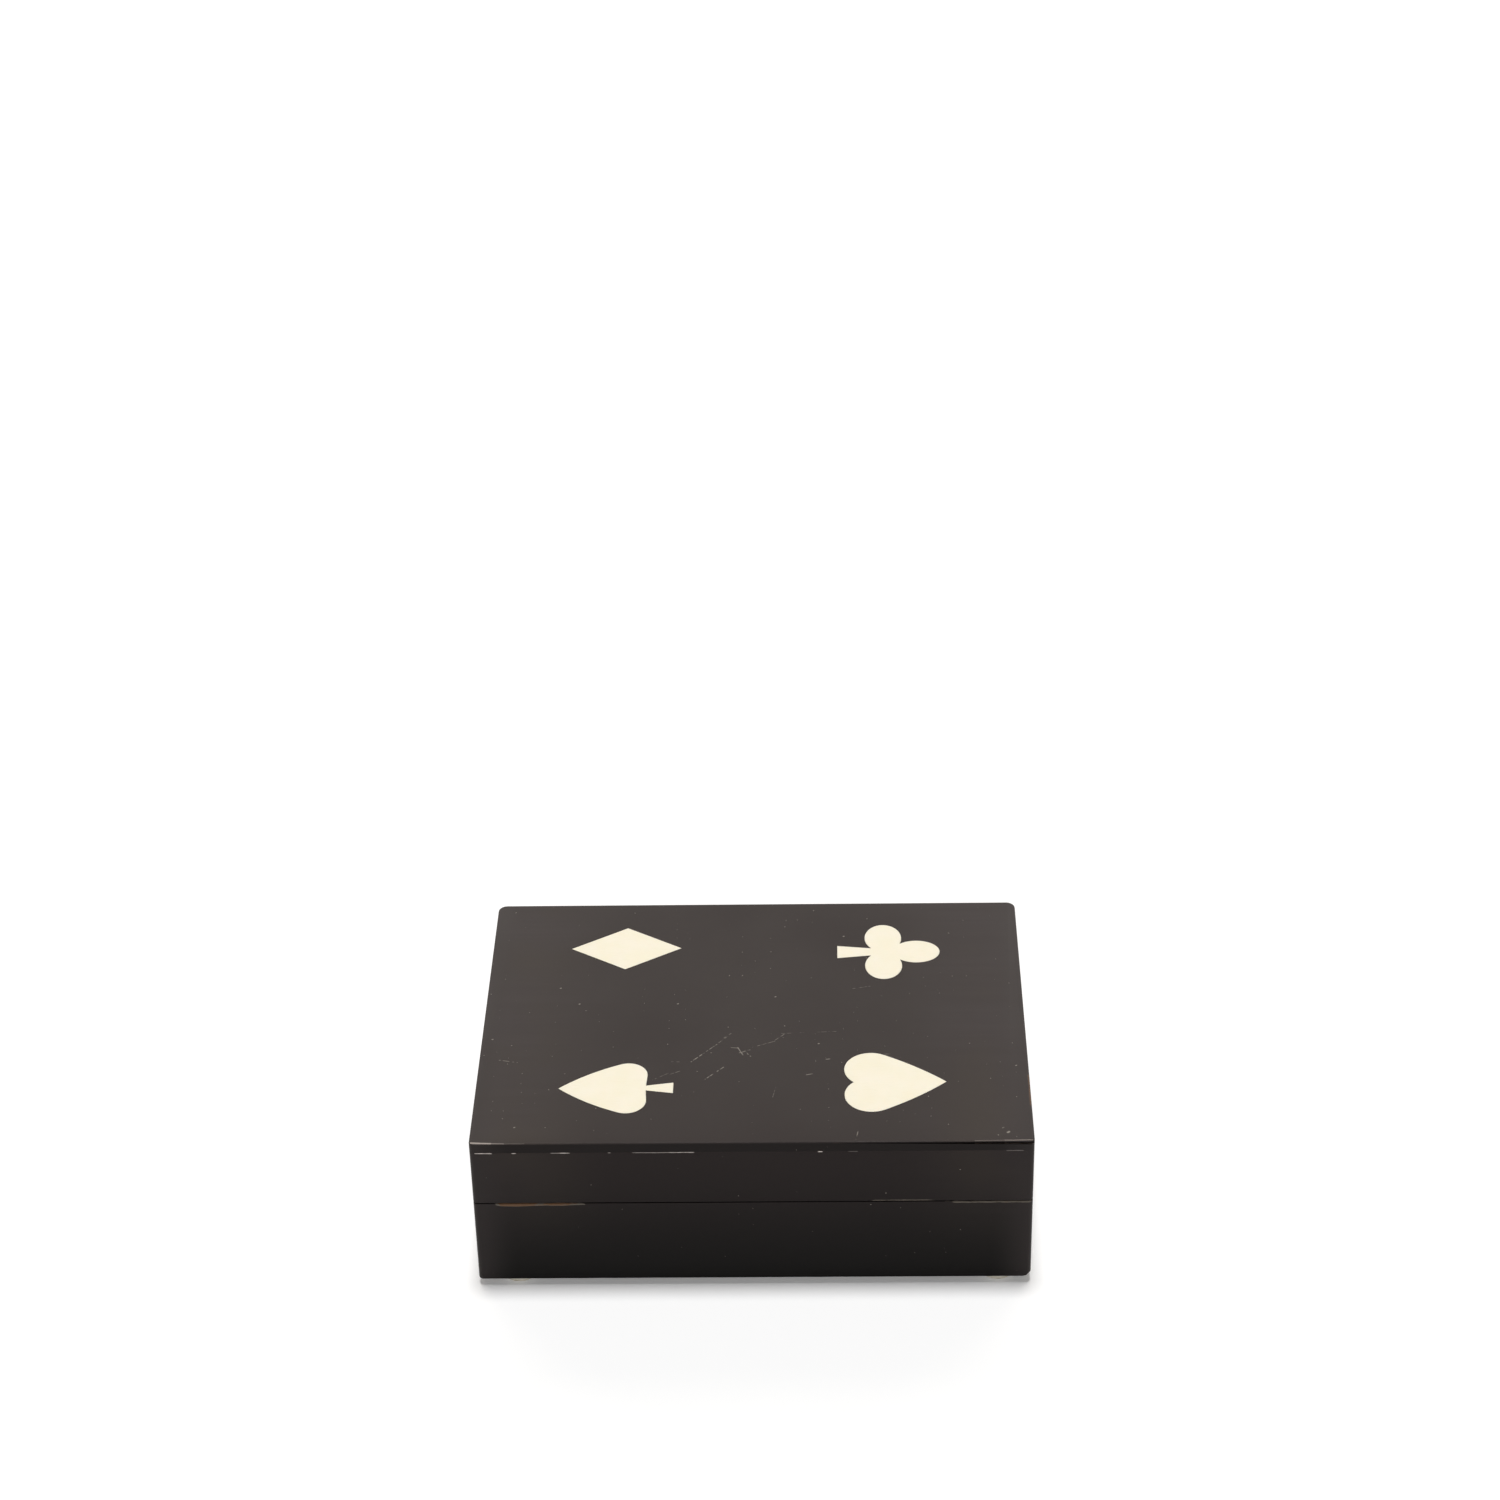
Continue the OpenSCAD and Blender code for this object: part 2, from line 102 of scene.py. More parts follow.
# %% Helpers for nodes and colours
def fill_input(tree, socket, value):
    """Gives an input a plain value, or links it to a socket or to the node before it"""
    if isinstance(value, bpy.types.Node):
        value = next(output for output in value.outputs if output.enabled)
    if isinstance(value, bpy.types.NodeSocket):
        tree.links.new(value, socket)
    else:
        socket.default_value = value


def add_node(tree, kind, inputs=None, **options):
    """Adds a node, sets its options, and fills its inputs, which are named or counted"""
    node = tree.nodes.new(kind)
    for option, value in options.items():
        setattr(node, option, value)
    for key, value in (inputs or {}).items():
        live = [socket for socket in node.inputs if socket.enabled]
        socket = live[key] if isinstance(key, int) else next(s for s in live if s.name == key)
        fill_input(tree, socket, value)
    return node


def linear(hex_colour):
    """The linear colour of an sRGB hex value"""
    parts = [int(hex_colour[i:i + 2], 16) / 255 for i in (1, 3, 5)]
    light = [c / 12.92 if c <= 0.04045 else ((c + 0.055) / 1.055) ** 2.4 for c in parts]
    return (*light, 1.0)


print("Bone cream in linear light:", [round(c, 3) for c in linear("#f1e9d2")])

# %% [markdown]
# ## Light and floor
#
# The photograph was taken on a white sweep under broad, soft light from above. Four lamps
# do the same here, and together they bring a flat white card to exactly white, so every
# colour renders about as it is written:
#
# - a main light overhead and slightly behind, which makes the short soft shadow in front;
# - a wide, weak, warm pair low behind, which the satin lid mirrors towards the camera;
# - a weak fill from the front, which picks out the feet. The sky adds a faint even light.
#
# A sun lamp with a wide disc is a soft light that is equally strong everywhere. The sky
# looks white to the camera and in reflections, and is darker to the light that it sheds,
# so that the front of the black box stays as dark as it is in the picture.

# %% Light the scene
def soft_sun(name, strength, disc, height, turn_left, colour=(1, 1, 1)):
    """A far light: strength is its share of white, disc its width, height its elevation"""
    lamp = bpy.data.lights.new(name, "SUN")
    lamp.energy = strength * math.pi
    lamp.color = colour
    lamp.angle = math.radians(disc)
    sun = bpy.data.objects.new(name, lamp)
    up, left = math.radians(height), math.radians(turn_left)
    towards = Vector((-math.sin(left) * math.cos(up), math.cos(left) * math.cos(up), math.sin(up)))
    sun.rotation_euler = towards.to_track_quat("Z", "Y").to_euler()
    scene.collection.objects.link(sun)


def seen_directly(tree):
    """1 for light that runs to the camera, straight or by a mirror or glass, and 0 for the rest"""
    ray = add_node(tree, "ShaderNodeLightPath").outputs
    seen = ray["Is Camera Ray"]
    for other in ("Is Glossy Ray", "Is Transmission Ray"):
        seen = add_node(tree, "ShaderNodeMath", {0: seen, 1: ray[other]}, operation="MAXIMUM")
    return seen


SKY = 0.06
WARM = (1.0, 0.9, 0.78)
soft_sun("overhead_light", strength=0.72, disc=11, height=86.9, turn_left=0)
soft_sun("light_behind_left", strength=0.17, disc=38, height=34, turn_left=22, colour=WARM)
soft_sun("light_behind_right", strength=0.16, disc=38, height=34, turn_left=-22, colour=WARM)
soft_sun("front_fill", strength=0.21, disc=40, height=13, turn_left=180)

scene.world = bpy.data.worlds.new("studio")
scene.world.use_nodes = True
sky = scene.world.node_tree
sky.nodes.clear()
brightness = add_node(sky, "ShaderNodeMapRange", {
    "Value": seen_directly(sky), "To Min": SKY, "To Max": 1.0,
})
backdrop = add_node(sky, "ShaderNodeBackground", {"Color": (1, 1, 1, 1), "Strength": brightness})
add_node(sky, "ShaderNodeOutputWorld", {"Surface": backdrop})

# %% [markdown]
# The floor is one large white square that keeps the shadow of the box. It is lifted a
# little for the camera alone, as the picture's white was.

# %% Lay the white floor
FLOOR_WHITE = (0.93, 0.93, 0.93, 1)
FLOOR_LIFT = 0.195
FLOOR_HALF = 5

floor_paint = bpy.data.materials.new("white sweep")
floor_paint.use_nodes = True
sweep = floor_paint.node_tree
sweep.nodes.clear()
shadowed = add_node(sweep, "ShaderNodeBsdfDiffuse", {"Color": FLOOR_WHITE})
to_camera = add_node(sweep, "ShaderNodeLightPath").outputs["Is Camera Ray"]
lift = add_node(sweep, "ShaderNodeMath", {0: to_camera, 1: FLOOR_LIFT}, operation="MULTIPLY")
glow = add_node(sweep, "ShaderNodeEmission", {"Color": (1, 1, 1, 1), "Strength": lift})
floor_surface = add_node(sweep, "ShaderNodeAddShader", {0: shadowed, 1: glow})
add_node(sweep, "ShaderNodeOutputMaterial", {"Surface": floor_surface})

floor_mesh = bpy.data.meshes.new("floor")
square = ((-1, -1), (1, -1), (1, 1), (-1, 1))
floor_corners = [(x * FLOOR_HALF, y * FLOOR_HALF, 0) for x, y in square]
floor_mesh.from_pydata(floor_corners, [], [(0, 1, 2, 3)])
floor_mesh.materials.append(floor_paint)
floor = bpy.data.objects.new("floor", floor_mesh)
scene.collection.objects.link(floor)
print("The floor is", FLOOR_HALF * 2, "m wide")

# %% [markdown]
# ## Starting and ending a finish
#
# Every finish below starts in the same way: one shader, and the place of each point on the
# object in millimetres. Patterns are then set by real sizes, such as a pore 0.35 mm wide.
# The place is read in the object's own coordinates, so a pattern stays put when the lid
# turns. Another helper lays any face of the box flat, for marks that lie on a face.
#
# Every finish also ends alike. The shader gets its colour and its roughness, and a Bump
# node tilts the light on it a little, so that pores and fibres too fine to model show.

# %% Helpers for finishes
LOOKS_THAT_WAY = 0.7  # the share of a direction above which a face looks that way


def start_finish(name, **settings):
    """A new material, with the values that are the same all over set on its shader"""
    material = bpy.data.materials.new(name)
    material.use_nodes = True
    tree = material.node_tree
    tree.nodes.clear()
    values = {key.replace("_", " "): value for key, value in settings.items()}
    shader = add_node(tree, "ShaderNodeBsdfPrincipled", values)
    add_node(tree, "ShaderNodeOutputMaterial", {"Surface": shader})
    where = add_node(tree, "ShaderNodeTexCoord").outputs
    place = add_node(tree, "ShaderNodeVectorMath", {
        0: where["Object"], "Scale": 1 / MM,
    }, operation="SCALE")
    return material, tree, shader, place, where["Normal"]


def end_finish(tree, shader, colour, roughness, height, strength, depth):
    """Gives the shader its colour, its roughness, and a relief of this depth in millimetres"""
    relief = add_node(tree, "ShaderNodeBump", {
        "Height": height, "Strength": strength, "Distance": depth * MM,
    })
    for name, value in (("Base Color", colour), ("Roughness", roughness), ("Normal", relief)):
        fill_input(tree, shader.inputs[name], value)


def laid_flat(tree, place, normal):
    """Two coordinates along whichever face of the box a point lies on"""
    x, y, z = add_node(tree, "ShaderNodeSeparateXYZ", {0: place}).outputs
    facing = add_node(tree, "ShaderNodeVectorMath", {0: normal}, operation="ABSOLUTE")
    facing_x, _, facing_z = add_node(tree, "ShaderNodeSeparateXYZ", {0: facing}).outputs
    sideways = add_node(tree, "ShaderNodeMath", {
        0: facing_x, 1: LOOKS_THAT_WAY,
    }, operation="GREATER_THAN")
    upwards = add_node(tree, "ShaderNodeMath", {
        0: facing_z, 1: LOOKS_THAT_WAY,
    }, operation="GREATER_THAN")
    across = add_node(tree, "ShaderNodeMix", {"Factor": sideways, "A": x, "B": y})
    along = add_node(tree, "ShaderNodeMix", {"Factor": upwards, "A": z, "B": y})
    return add_node(tree, "ShaderNodeCombineXYZ", {"X": across, "Y": along})


print("Finishes are ready to be mixed")

# %% [markdown]
# ## Pear wood and its grain
#
# Pear is a close-grained fruit wood that takes a black stain well, which is why boxes,
# rulers and piano keys that look like ebony are often made of it. Inside the box it was
# left bare: brown, with darker growth bands and fine pores. Wood runs along its board, so
# both patterns are noise that is drawn out along X or Y. A photograph of wood could be
# wrapped round the boards instead, but it would repeat, and would show its seams at the
# mitres, where a pattern in space runs on through the joint.

# %% Mix the bare wood
PEAR = {"Specular_IOR_Level": 0.128, "IOR": 1.5, "Specular_Tint": (1.0, 0.95, 0.9, 1.0)}
BARE_ROUGHNESS, WAXED_ROUGHNESS = 0.55, 0.4


def drawn_out(grain, share):
    """A scale that draws a pattern out along the grain"""
    return (share, 1, 1) if grain == "X" else (1, share, 1)


def pear_grain(tree, place, grain):
    """The growth bands, the pores, the tone between two bands, and the brown of bare wood"""
    # Growth bands 4 mm apart and pores 0.35 mm wide. Real pear pores are 0.05 mm wide,
    # and are drawn this coarse so that they show.
    bands_at = add_node(tree, "ShaderNodeMapping", {
        "Vector": place, "Scale": drawn_out(grain, 0.035),
    })
    bands = add_node(tree, "ShaderNodeTexNoise", {
        "Vector": bands_at, "Scale": 1 / 4, "Detail": 4, "Roughness": 0.55, "Distortion": 0.4,
    })
    pores_at = add_node(tree, "ShaderNodeMapping", {
        "Vector": place, "Scale": drawn_out(grain, 0.09),
    })
    pores = add_node(tree, "ShaderNodeTexNoise", {
        "Vector": pores_at, "Scale": 2.6, "Detail": 2, "Roughness": 0.5,
    })
    pore = add_node(tree, "ShaderNodeMapRange", {
        "Value": pores, "From Min": 0.56, "From Max": 0.72,
    }, interpolation_type="SMOOTHSTEP")
    tone = add_node(tree, "ShaderNodeMapRange", {
        "Value": bands, "From Min": 0.3, "From Max": 0.7,
    }, interpolation_type="SMOOTHSTEP")
    brown = add_node(tree, "ShaderNodeMix", {
        "Factor": tone, "A": linear("#74502f"), "B": linear("#a27b52"),
    }, data_type="RGBA")
    brown = add_node(tree, "ShaderNodeMix", {
        "Factor": pore, "A": brown, "B": linear("#5c3d24"),
    }, data_type="RGBA")
    return bands, pore, tone, brown


def bare_pear(name, grain):
    """Planed pear wood that was never stained. It is duller than waxed wood"""
    material, tree, shader, place, _ = start_finish(name, **PEAR)
    bands, pore, _, brown = pear_grain(tree, place, grain)
    rough = add_node(tree, "ShaderNodeMapRange", {
        "Value": bands, "To Min": BARE_ROUGHNESS - 0.08, "To Max": BARE_ROUGHNESS + 0.1,
    })
    grooves = add_node(tree, "ShaderNodeMath", {0: pore, 1: -1.0}, operation="MULTIPLY")
    end_finish(tree, shader, brown, rough, grooves, strength=0.6, depth=0.03)
    return material


bare_wood = bare_pear("bare pear wood, grain left to right", "X")
bare_wood_side = bare_pear("bare pear wood, grain front to back", "Y")
print("Nodes in the bare wood:", len(bare_wood.node_tree.nodes))

# %% [markdown]
# ## The black stain and its wear
#
# The stain is thin. Under a coat of wax the eye sees a warm black with a low, even sheen,
# brown wood where an edge is rubbed through, and dust and hairline scratches. The colour is
# built up in coats: each coat is a colour, and the share of each point that it covers. Here
# are the coats of stain, of painted shade and painted light, and those of wear. The share of
# such a coat runs from none at one place on the box to full at another.
#
# Pieces can carry three marks on their points, which the material reads: bare, for wood
# that was never stained, worn, for edges rubbed through, and filler, for the pale wax
# filler left in a joint. Worn edges first turn grey, then show the wood.

# %% Coats of stain and of wear
def stain_and_painted_light_coats(tree, place, drift, painted_edge_shade):
    """Random clouds of tone in the stain, then painted light and shade: painted light towards
    both ends, painted shade between them and low down, and on the lid board's edge"""
    x, _, z = add_node(tree, "ShaderNodeSeparateXYZ", {0: place}).outputs
    from_middle = add_node(tree, "ShaderNodeMath", {0: x}, operation="ABSOLUTE")
    clouds = [(drift, 0.35, 0.7, "#322c29")]
    # Painted shade: darker between the two ends, and darker towards the bottom
    deep = [(from_middle, 66, 36, "#262020"), (z, 46, 3, "#060505")]
    # Painted shade: the edge of the lid's board, below its rounding, is darker
    edge = [(z, 49.45, 49.3, "#1b1717")] if painted_edge_shade else []
    # Painted light: lighter towards both ends
    ends = [(from_middle, 64, 79, "#312c2c")]
    coats = []
    for value, none_at, full_at, colour in clouds + deep + edge + ends:
        share = add_node(tree, "ShaderNodeMapRange", {
            "Value": value, "From Min": none_at, "From Max": full_at,
        }, interpolation_type="SMOOTHSTEP")
        coats.append((share, linear(colour)))
    return coats


def wear_coats(tree, place, grain, facing_z, brown, bare_below):
    """Edges rubbed grey, edges rubbed brown, and bare wood. Every border is ragged"""
    ragged_at = add_node(tree, "ShaderNodeMapping", {
        "Vector": place, "Scale": drawn_out(grain, 0.3),
    })
    ragged = add_node(tree, "ShaderNodeTexNoise", {
        "Vector": ragged_at, "Scale": 1.2, "Detail": 4, "Roughness": 0.6,
    })
    offset = add_node(tree, "ShaderNodeMath", {0: ragged, 1: 0.5}, operation="SUBTRACT")
    steps = [
        ("worn", linear("#6b645b"), 0.35, 0.5),
        ("worn", linear("#70543e"), 0.62, 0.74),
        ("bare", brown, 0.45, 0.55),
    ]
    coats = []
    for mark, colour, starts, full in steps:
        amount = add_node(tree, "ShaderNodeAttribute", attribute_name=mark).outputs["Fac"]
        rubbed = add_node(tree, "ShaderNodeMath", {
            0: offset, 1: 0.8, 2: amount,
        }, operation="MULTIPLY_ADD")
        through = add_node(tree, "ShaderNodeMapRange", {
            "Value": rubbed, "From Min": starts, "From Max": full,
        }, interpolation_type="SMOOTHSTEP")
        marked = add_node(tree, "ShaderNodeMath", {0: amount, 1: 0.02}, operation="GREATER_THAN")
        share = add_node(tree, "ShaderNodeMath", {0: through, 1: marked}, operation="MULTIPLY")
        coats.append((share, colour))
    if bare_below:
        downwards = add_node(tree, "ShaderNodeMath", {
            0: facing_z, 1: -LOOKS_THAT_WAY,
        }, operation="LESS_THAN")
        share = add_node(tree, "ShaderNodeMath", {0: share, 1: downwards}, operation="MAXIMUM")
        coats[-1] = (share, brown)
    return coats


print("Bare wood of roughness", BARE_ROUGHNESS, "shows through wax of", WAXED_ROUGHNESS)

# %% [markdown]
# A grain of dust lies in a few of many cells, each 4 mm across. It is up to 0.3 mm wide.
# Dust gathers in some places more than in others, and on top more than on the sides.
#
# A hairline scratch is a short straight line. For each point, the node network finds the
# nearest point of the line, and paints where the distance is less than half a hair. Long
# scratches are broken up along their length, as a dragged grit leaves them.

# %% Dust and scratches
DUST_CELL = 4


def dust_share(tree, flat, on_top):
    """1 on a grain of dust, and 0 beside it"""
    cells = add_node(tree, "ShaderNodeTexVoronoi", {
        "Vector": flat, "Scale": 1 / DUST_CELL, "Randomness": 1,
    }, voronoi_dimensions="2D")
    chance, size, _ = add_node(tree, "ShaderNodeSeparateColor", {0: cells.outputs["Color"]}).outputs
    small = add_node(tree, "ShaderNodeMath", {0: size, 1: 2.5}, operation="POWER")
    reach = add_node(tree, "ShaderNodeMapRange", {
        "Value": small, "To Min": 0.05 / DUST_CELL, "To Max": 0.16 / DUST_CELL,
    })
    inside = add_node(tree, "ShaderNodeMath", {
        0: cells.outputs["Distance"], 1: reach,
    }, operation="LESS_THAN")
    drifts = add_node(tree, "ShaderNodeTexNoise", {"Vector": flat, "Scale": 0.06, "Detail": 1})
    dusty = add_node(tree, "ShaderNodeMapRange", {
        "Value": drifts, "From Min": 0.4, "From Max": 0.7, "To Min": 0.08, "To Max": 0.48,
    })
    lying = add_node(tree, "ShaderNodeMapRange", {"Value": on_top, "To Min": 0.35, "To Max": 1.0})
    dusty = add_node(tree, "ShaderNodeMath", {0: dusty, 1: lying}, operation="MULTIPLY")
    chosen = add_node(tree, "ShaderNodeMath", {0: chance, 1: dusty}, operation="LESS_THAN")
    return add_node(tree, "ShaderNodeMath", {0: inside, 1: chosen}, operation="MULTIPLY")


def hairline(tree, flat, start, end, width, strength):
    """How strongly one scratch marks each point"""
    start, end = Vector((*start, 0)), Vector((*end, 0))
    run = end - start
    rate = run / run.length_squared
    reach = add_node(tree, "ShaderNodeVectorMath", {0: flat, 1: rate}, operation="DOT_PRODUCT")
    share = add_node(tree, "ShaderNodeMath", {
        0: reach.outputs["Value"], 1: start.dot(rate),
    }, operation="SUBTRACT", use_clamp=True)
    nearest = add_node(tree, "ShaderNodeVectorMath", {
        0: share, 1: run, 2: start,
    }, operation="MULTIPLY_ADD")
    gap = add_node(tree, "ShaderNodeVectorMath", {0: flat, 1: nearest}, operation="DISTANCE")
    return add_node(tree, "ShaderNodeMapRange", {
        "Value": gap.outputs["Value"], "From Min": 0, "From Max": width,
        "To Min": strength, "To Max": 0,
    }, interpolation_type="SMOOTHSTEP")


def scratch_coats(tree, flat, on_top, marks):
    """One coat for each group of marks, a colour, whether they are broken, and their lines"""
    coats = []
    for colour, broken, lines in marks:
        share = hairline(tree, flat, *lines[0])
        for line in lines[1:]:
            one = hairline(tree, flat, *line)
            share = add_node(tree, "ShaderNodeMath", {0: share, 1: one}, operation="MAXIMUM")
        if broken:
            skips = add_node(tree, "ShaderNodeTexNoise", {
                "Vector": flat, "Scale": 0.9, "Detail": 1,
            })
            pressed = add_node(tree, "ShaderNodeMapRange", {
                "Value": skips, "From Min": 0.4, "From Max": 0.6,
            }, interpolation_type="SMOOTHSTEP")
            share = add_node(tree, "ShaderNodeMath", {0: share, 1: pressed}, operation="MULTIPLY")
        share = add_node(tree, "ShaderNodeMath", {0: share, 1: on_top}, operation="MULTIPLY")
        coats.append((share, linear(colour)))
    return coats


print("Dust lies in cells", DUST_CELL, "mm across")

# %% [markdown]
# The marks on the lid are tables of lines, each from one place to another on the top, with
# a width in millimetres and a strength: the scratches, small light specks, a light line
# along the front edge where the wax is rubbed thin, lightened further as a painted highlight,
# and a brown one on the right end.

# %% Marks on the lid
LID_SCRATCHES = [
    ((-17.1, -20.1), (-13.3, -15.8), 0.23, 0.9),
    ((-13.3, -15.8), (-9.9, -12.0), 0.18, 0.65),
    ((-13.0, -27.9), (-8.1, -22.6), 0.22, 0.7),
    ((-10.0, -12.0), (-6.3, -7.6), 0.18, 0.45),
    ((-8.3, -9.4), (-6.3, -7.4), 0.3, 0.4),
    ((-6.4, -13.8), (-4.1, -14.0), 0.2, 0.55),
    ((-4.3, -13.8), (-2.8, -17.2), 0.27, 0.65),
    ((-4.0, -16.3), (-0.9, -14.9), 0.24, 0.6),
    ((-2.4, -15.5), (-0.7, -17.8), 0.3, 0.6),
    ((-0.4, -13.8), (6.0, -11.0), 0.18, 0.45),
    ((6.0, -10.6), (8.5, -7.9), 0.2, 0.45),
    ((7.8, -7.5), (23.1, -6.7), 0.14, 0.35),
    ((13.8, -26.5), (16.5, -25.8), 0.2, 0.7),
    ((20.3, -19.3), (21.7, -19.2), 0.3, 0.7),
    ((5.6, -36.0), (6.4, -31.8), 0.15, 0.4),
    ((-22.9, -25.7), (-20.0, -24.2), 0.18, 0.5),
    ((-22.5, -20.0), (-20.3, -20.1), 0.18, 0.35),
    ((27.2, 13.1), (33.0, 14.4), 0.15, 0.45),
    ((28.7, -50.9), (28.1, -54.4), 0.22, 0.6),
    ((-27.5, -28.1), (-23.2, -25.1), 0.15, 0.4),
    ((-70.4, -18.8), (-65.3, -19.9), 0.2, 0.5),
    ((34.7, -17.4), (38.1, -17.1), 0.2, 0.5),
    ((68.9, -51.8), (69.3, -51.5), 0.5, 0.9),
    ((71.3, -53.6), (71.5, -53.2), 0.35, 0.8),
    ((66.1, -52.7), (66.3, -52.9), 0.3, 0.8),
    ((72.9, -50.4), (73.1, -50.3), 0.3, 0.7),
    ((67.6, -49.9), (67.9, -49.7), 0.3, 0.6),
]
SPECK_PLACES = [
    (-49.6, 6.8), (-21.7, 6.6), (-73.1, -9.4), (72.5, -22.7), (18.1, -12.3),
    (25.5, 38.7), (-55.4, 14.4), (5.9, 9.6), (-64.2, -48.5),
]
SPECK_LENGTH, SPECK_SLANT, SPECK_WIDTH, SPECK_STRENGTH = 0.2, 0.1, 0.3, 0.75
LID_SPECKS = [
    ((x, y), (x + SPECK_LENGTH, y + SPECK_SLANT), SPECK_WIDTH, SPECK_STRENGTH)
    for x, y in SPECK_PLACES
]
# Wax rubbed thin along the front edge, and a painted highlight on it
RUBBED_RIM_AND_HIGHLIGHT = [
    ((-75.6, -54.9), (-73.0, -55.1), 0.45, 0.9),
    ((-73.0, -55.1), (-70.0, -55.2), 0.35, 0.95),
    ((-70.0, -55.2), (-66.5, -55.3), 0.25, 0.5),
    ((-66.5, -55.3), (-61.0, -55.4), 0.22, 0.2),
    ((60.0, -55.2), (68.0, -55.1), 0.25, 0.22),
    ((68.0, -55.1), (75.6, -55.0), 0.3, 0.42),
]
RUBBED_END = [
    ((75.7, -27.0), (75.8, -33.0), 0.4, 0.7),
    ((75.8, -33.0), (75.8, -40.0), 0.5, 0.8),
]
LID_MARKS = [
    ("#99938a", True, LID_SCRATCHES),
    ("#99938a", False, LID_SPECKS),
    ("#b5aaa2", False, RUBBED_RIM_AND_HIGHLIGHT),
    ("#70543e", False, RUBBED_END),
]
print("Marks on the lid:", sum(len(lines) for _, _, lines in LID_MARKS))

# %% [markdown]
# The stained finish is the bare wood's pattern in black, then every coat in its order, from
# the stain, its painted shade and its painted light up to the dust and the scratches. Wax is
# thinner in some places than in others, bare wood is duller, and dust is dullest. The lid's
# board is bare on its underside.

# %% Mix the stained wood
DUST_ROUGHNESS = 0.9


def stained_pear(name, grain, marks=(), bare_below=False):
    """Pear wood stained black and waxed, with painted shade and light, and its grain along X or Y
    """
    material, tree, shader, place, normal = start_finish(name, **PEAR)
    bands, pore, tone, brown = pear_grain(tree, place, grain)
    drift = add_node(tree, "ShaderNodeTexNoise", {"Vector": place, "Scale": 0.03, "Detail": 3})
    facing_z = add_node(tree, "ShaderNodeSeparateXYZ", {0: normal}).outputs["Z"]
    on_top = add_node(tree, "ShaderNodeMath", {0: facing_z, 1: 0.1}, operation="GREATER_THAN")
    filled = add_node(tree, "ShaderNodeAttribute", attribute_name="filler").outputs["Fac"]
    flat = laid_flat(tree, place, normal)
    wear = wear_coats(tree, place, grain, facing_z, brown, bare_below)
    unstained, _ = wear[-1]
    dust = dust_share(tree, flat, on_top)

    # The lid's finish, bare below, also gets the painted shade on its board's edge
    coats = stain_and_painted_light_coats(tree, place, drift, painted_edge_shade=bare_below) + wear
    coats += [(filled, linear("#f8eee8")), (dust, linear("#857f77"))]
    coats += scratch_coats(tree, flat, on_top, marks)
    shown = add_node(tree, "ShaderNodeMix", {
        "Factor": tone, "A": linear("#2c2627"), "B": linear("#302a2b"),
    }, data_type="RGBA")
    for share, colour in coats:
        shown = add_node(tree, "ShaderNodeMix", {
            "Factor": share, "A": shown, "B": colour,
        }, data_type="RGBA")

    rough = add_node(tree, "ShaderNodeMapRange", {
        "Value": drift, "From Min": 0.3, "From Max": 0.7,
        "To Min": WAXED_ROUGHNESS - 0.05, "To Max": WAXED_ROUGHNESS + 0.06,
    })
    for share, value in ((unstained, BARE_ROUGHNESS), (dust, DUST_ROUGHNESS)):
        rough = add_node(tree, "ShaderNodeMix", {"Factor": share, "A": rough, "B": value})
    relief = add_node(tree, "ShaderNodeMath", {
        0: bands, 1: 0.3, 2: pore,
    }, operation="MULTIPLY_ADD")
    end_finish(tree, shader, shown, rough, relief, strength=0.2, depth=-0.008)
    return material


lid_wood = stained_pear("pear wood stained black and waxed, lid", "X", LID_MARKS, bare_below=True)
long_wood = stained_pear("pear wood stained black and waxed, grain left to right", "X")
side_wood = stained_pear("pear wood stained black and waxed, grain front to back", "Y")
print("Nodes in the lid's finish:", len(lid_wood.node_tree.nodes))

# %% [markdown]
# ## Bone and brass
#
# Bone is sawn thin, scraped and polished. It is cream, slightly uneven, and has fine short
# streaks where its blood vessels ran. A little light sinks in, so it looks soft. Plain
# white plastic would be one colour all over, and that is what the streaks guard against.
#
# The hinges are drawn and stamped brass, gone dull brown in its hollows with age. Drawing
# leaves fine lines along the metal, which spread its reflections.

# %% Mix bone and brass
def polished_bone():
    """Sawn and polished bone"""
    material, tree, shader, place, _ = start_finish(
        "cattle bone, sawn and polished", Specular_IOR_Level=0.25, IOR=1.54,
        Subsurface_Weight=0.15, Subsurface_Radius=(1.2, 0.9, 0.6), Subsurface_Scale=MM,
    )
    clouds = add_node(tree, "ShaderNodeTexNoise", {"Vector": place, "Scale": 0.12, "Detail": 3})
    cloudy = add_node(tree, "ShaderNodeMapRange", {
        "Value": clouds, "From Min": 0.3, "From Max": 0.7,
    }, interpolation_type="SMOOTHSTEP")
    cream = add_node(tree, "ShaderNodeMix", {
        "Factor": cloudy, "A": linear("#f6efdc"), "B": linear("#f4edd6"),
    }, data_type="RGBA")
    # Streaks 0.3 mm wide and 3 mm long
    streaks_at = add_node(tree, "ShaderNodeMapping", {
        "Vector": place, "Scale": drawn_out("X", 0.1),
    })
    streaks = add_node(tree, "ShaderNodeTexNoise", {
        "Vector": streaks_at, "Scale": 2.8, "Detail": 2,
    })
    streak = add_node(tree, "ShaderNodeMapRange", {
        "Value": streaks, "From Min": 0.58, "From Max": 0.75,
    }, interpolation_type="SMOOTHSTEP")
    faint = add_node(tree, "ShaderNodeMath", {0: streak, 1: 0.12}, operation="MULTIPLY")
    cream = add_node(tree, "ShaderNodeMix", {
        "Factor": faint, "A": cream, "B": linear("#dccfa6"),
    }, data_type="RGBA")
    rough = add_node(tree, "ShaderNodeMapRange", {
        "Value": streaks, "From Min": 0.3, "From Max": 0.7, "To Min": 0.34, "To Max": 0.46,
    })
    sunk = add_node(tree, "ShaderNodeMath", {0: streak, 1: -1.0}, operation="MULTIPLY")
    end_finish(tree, shader, cream, rough, sunk, strength=0.4, depth=0.01)
    return material


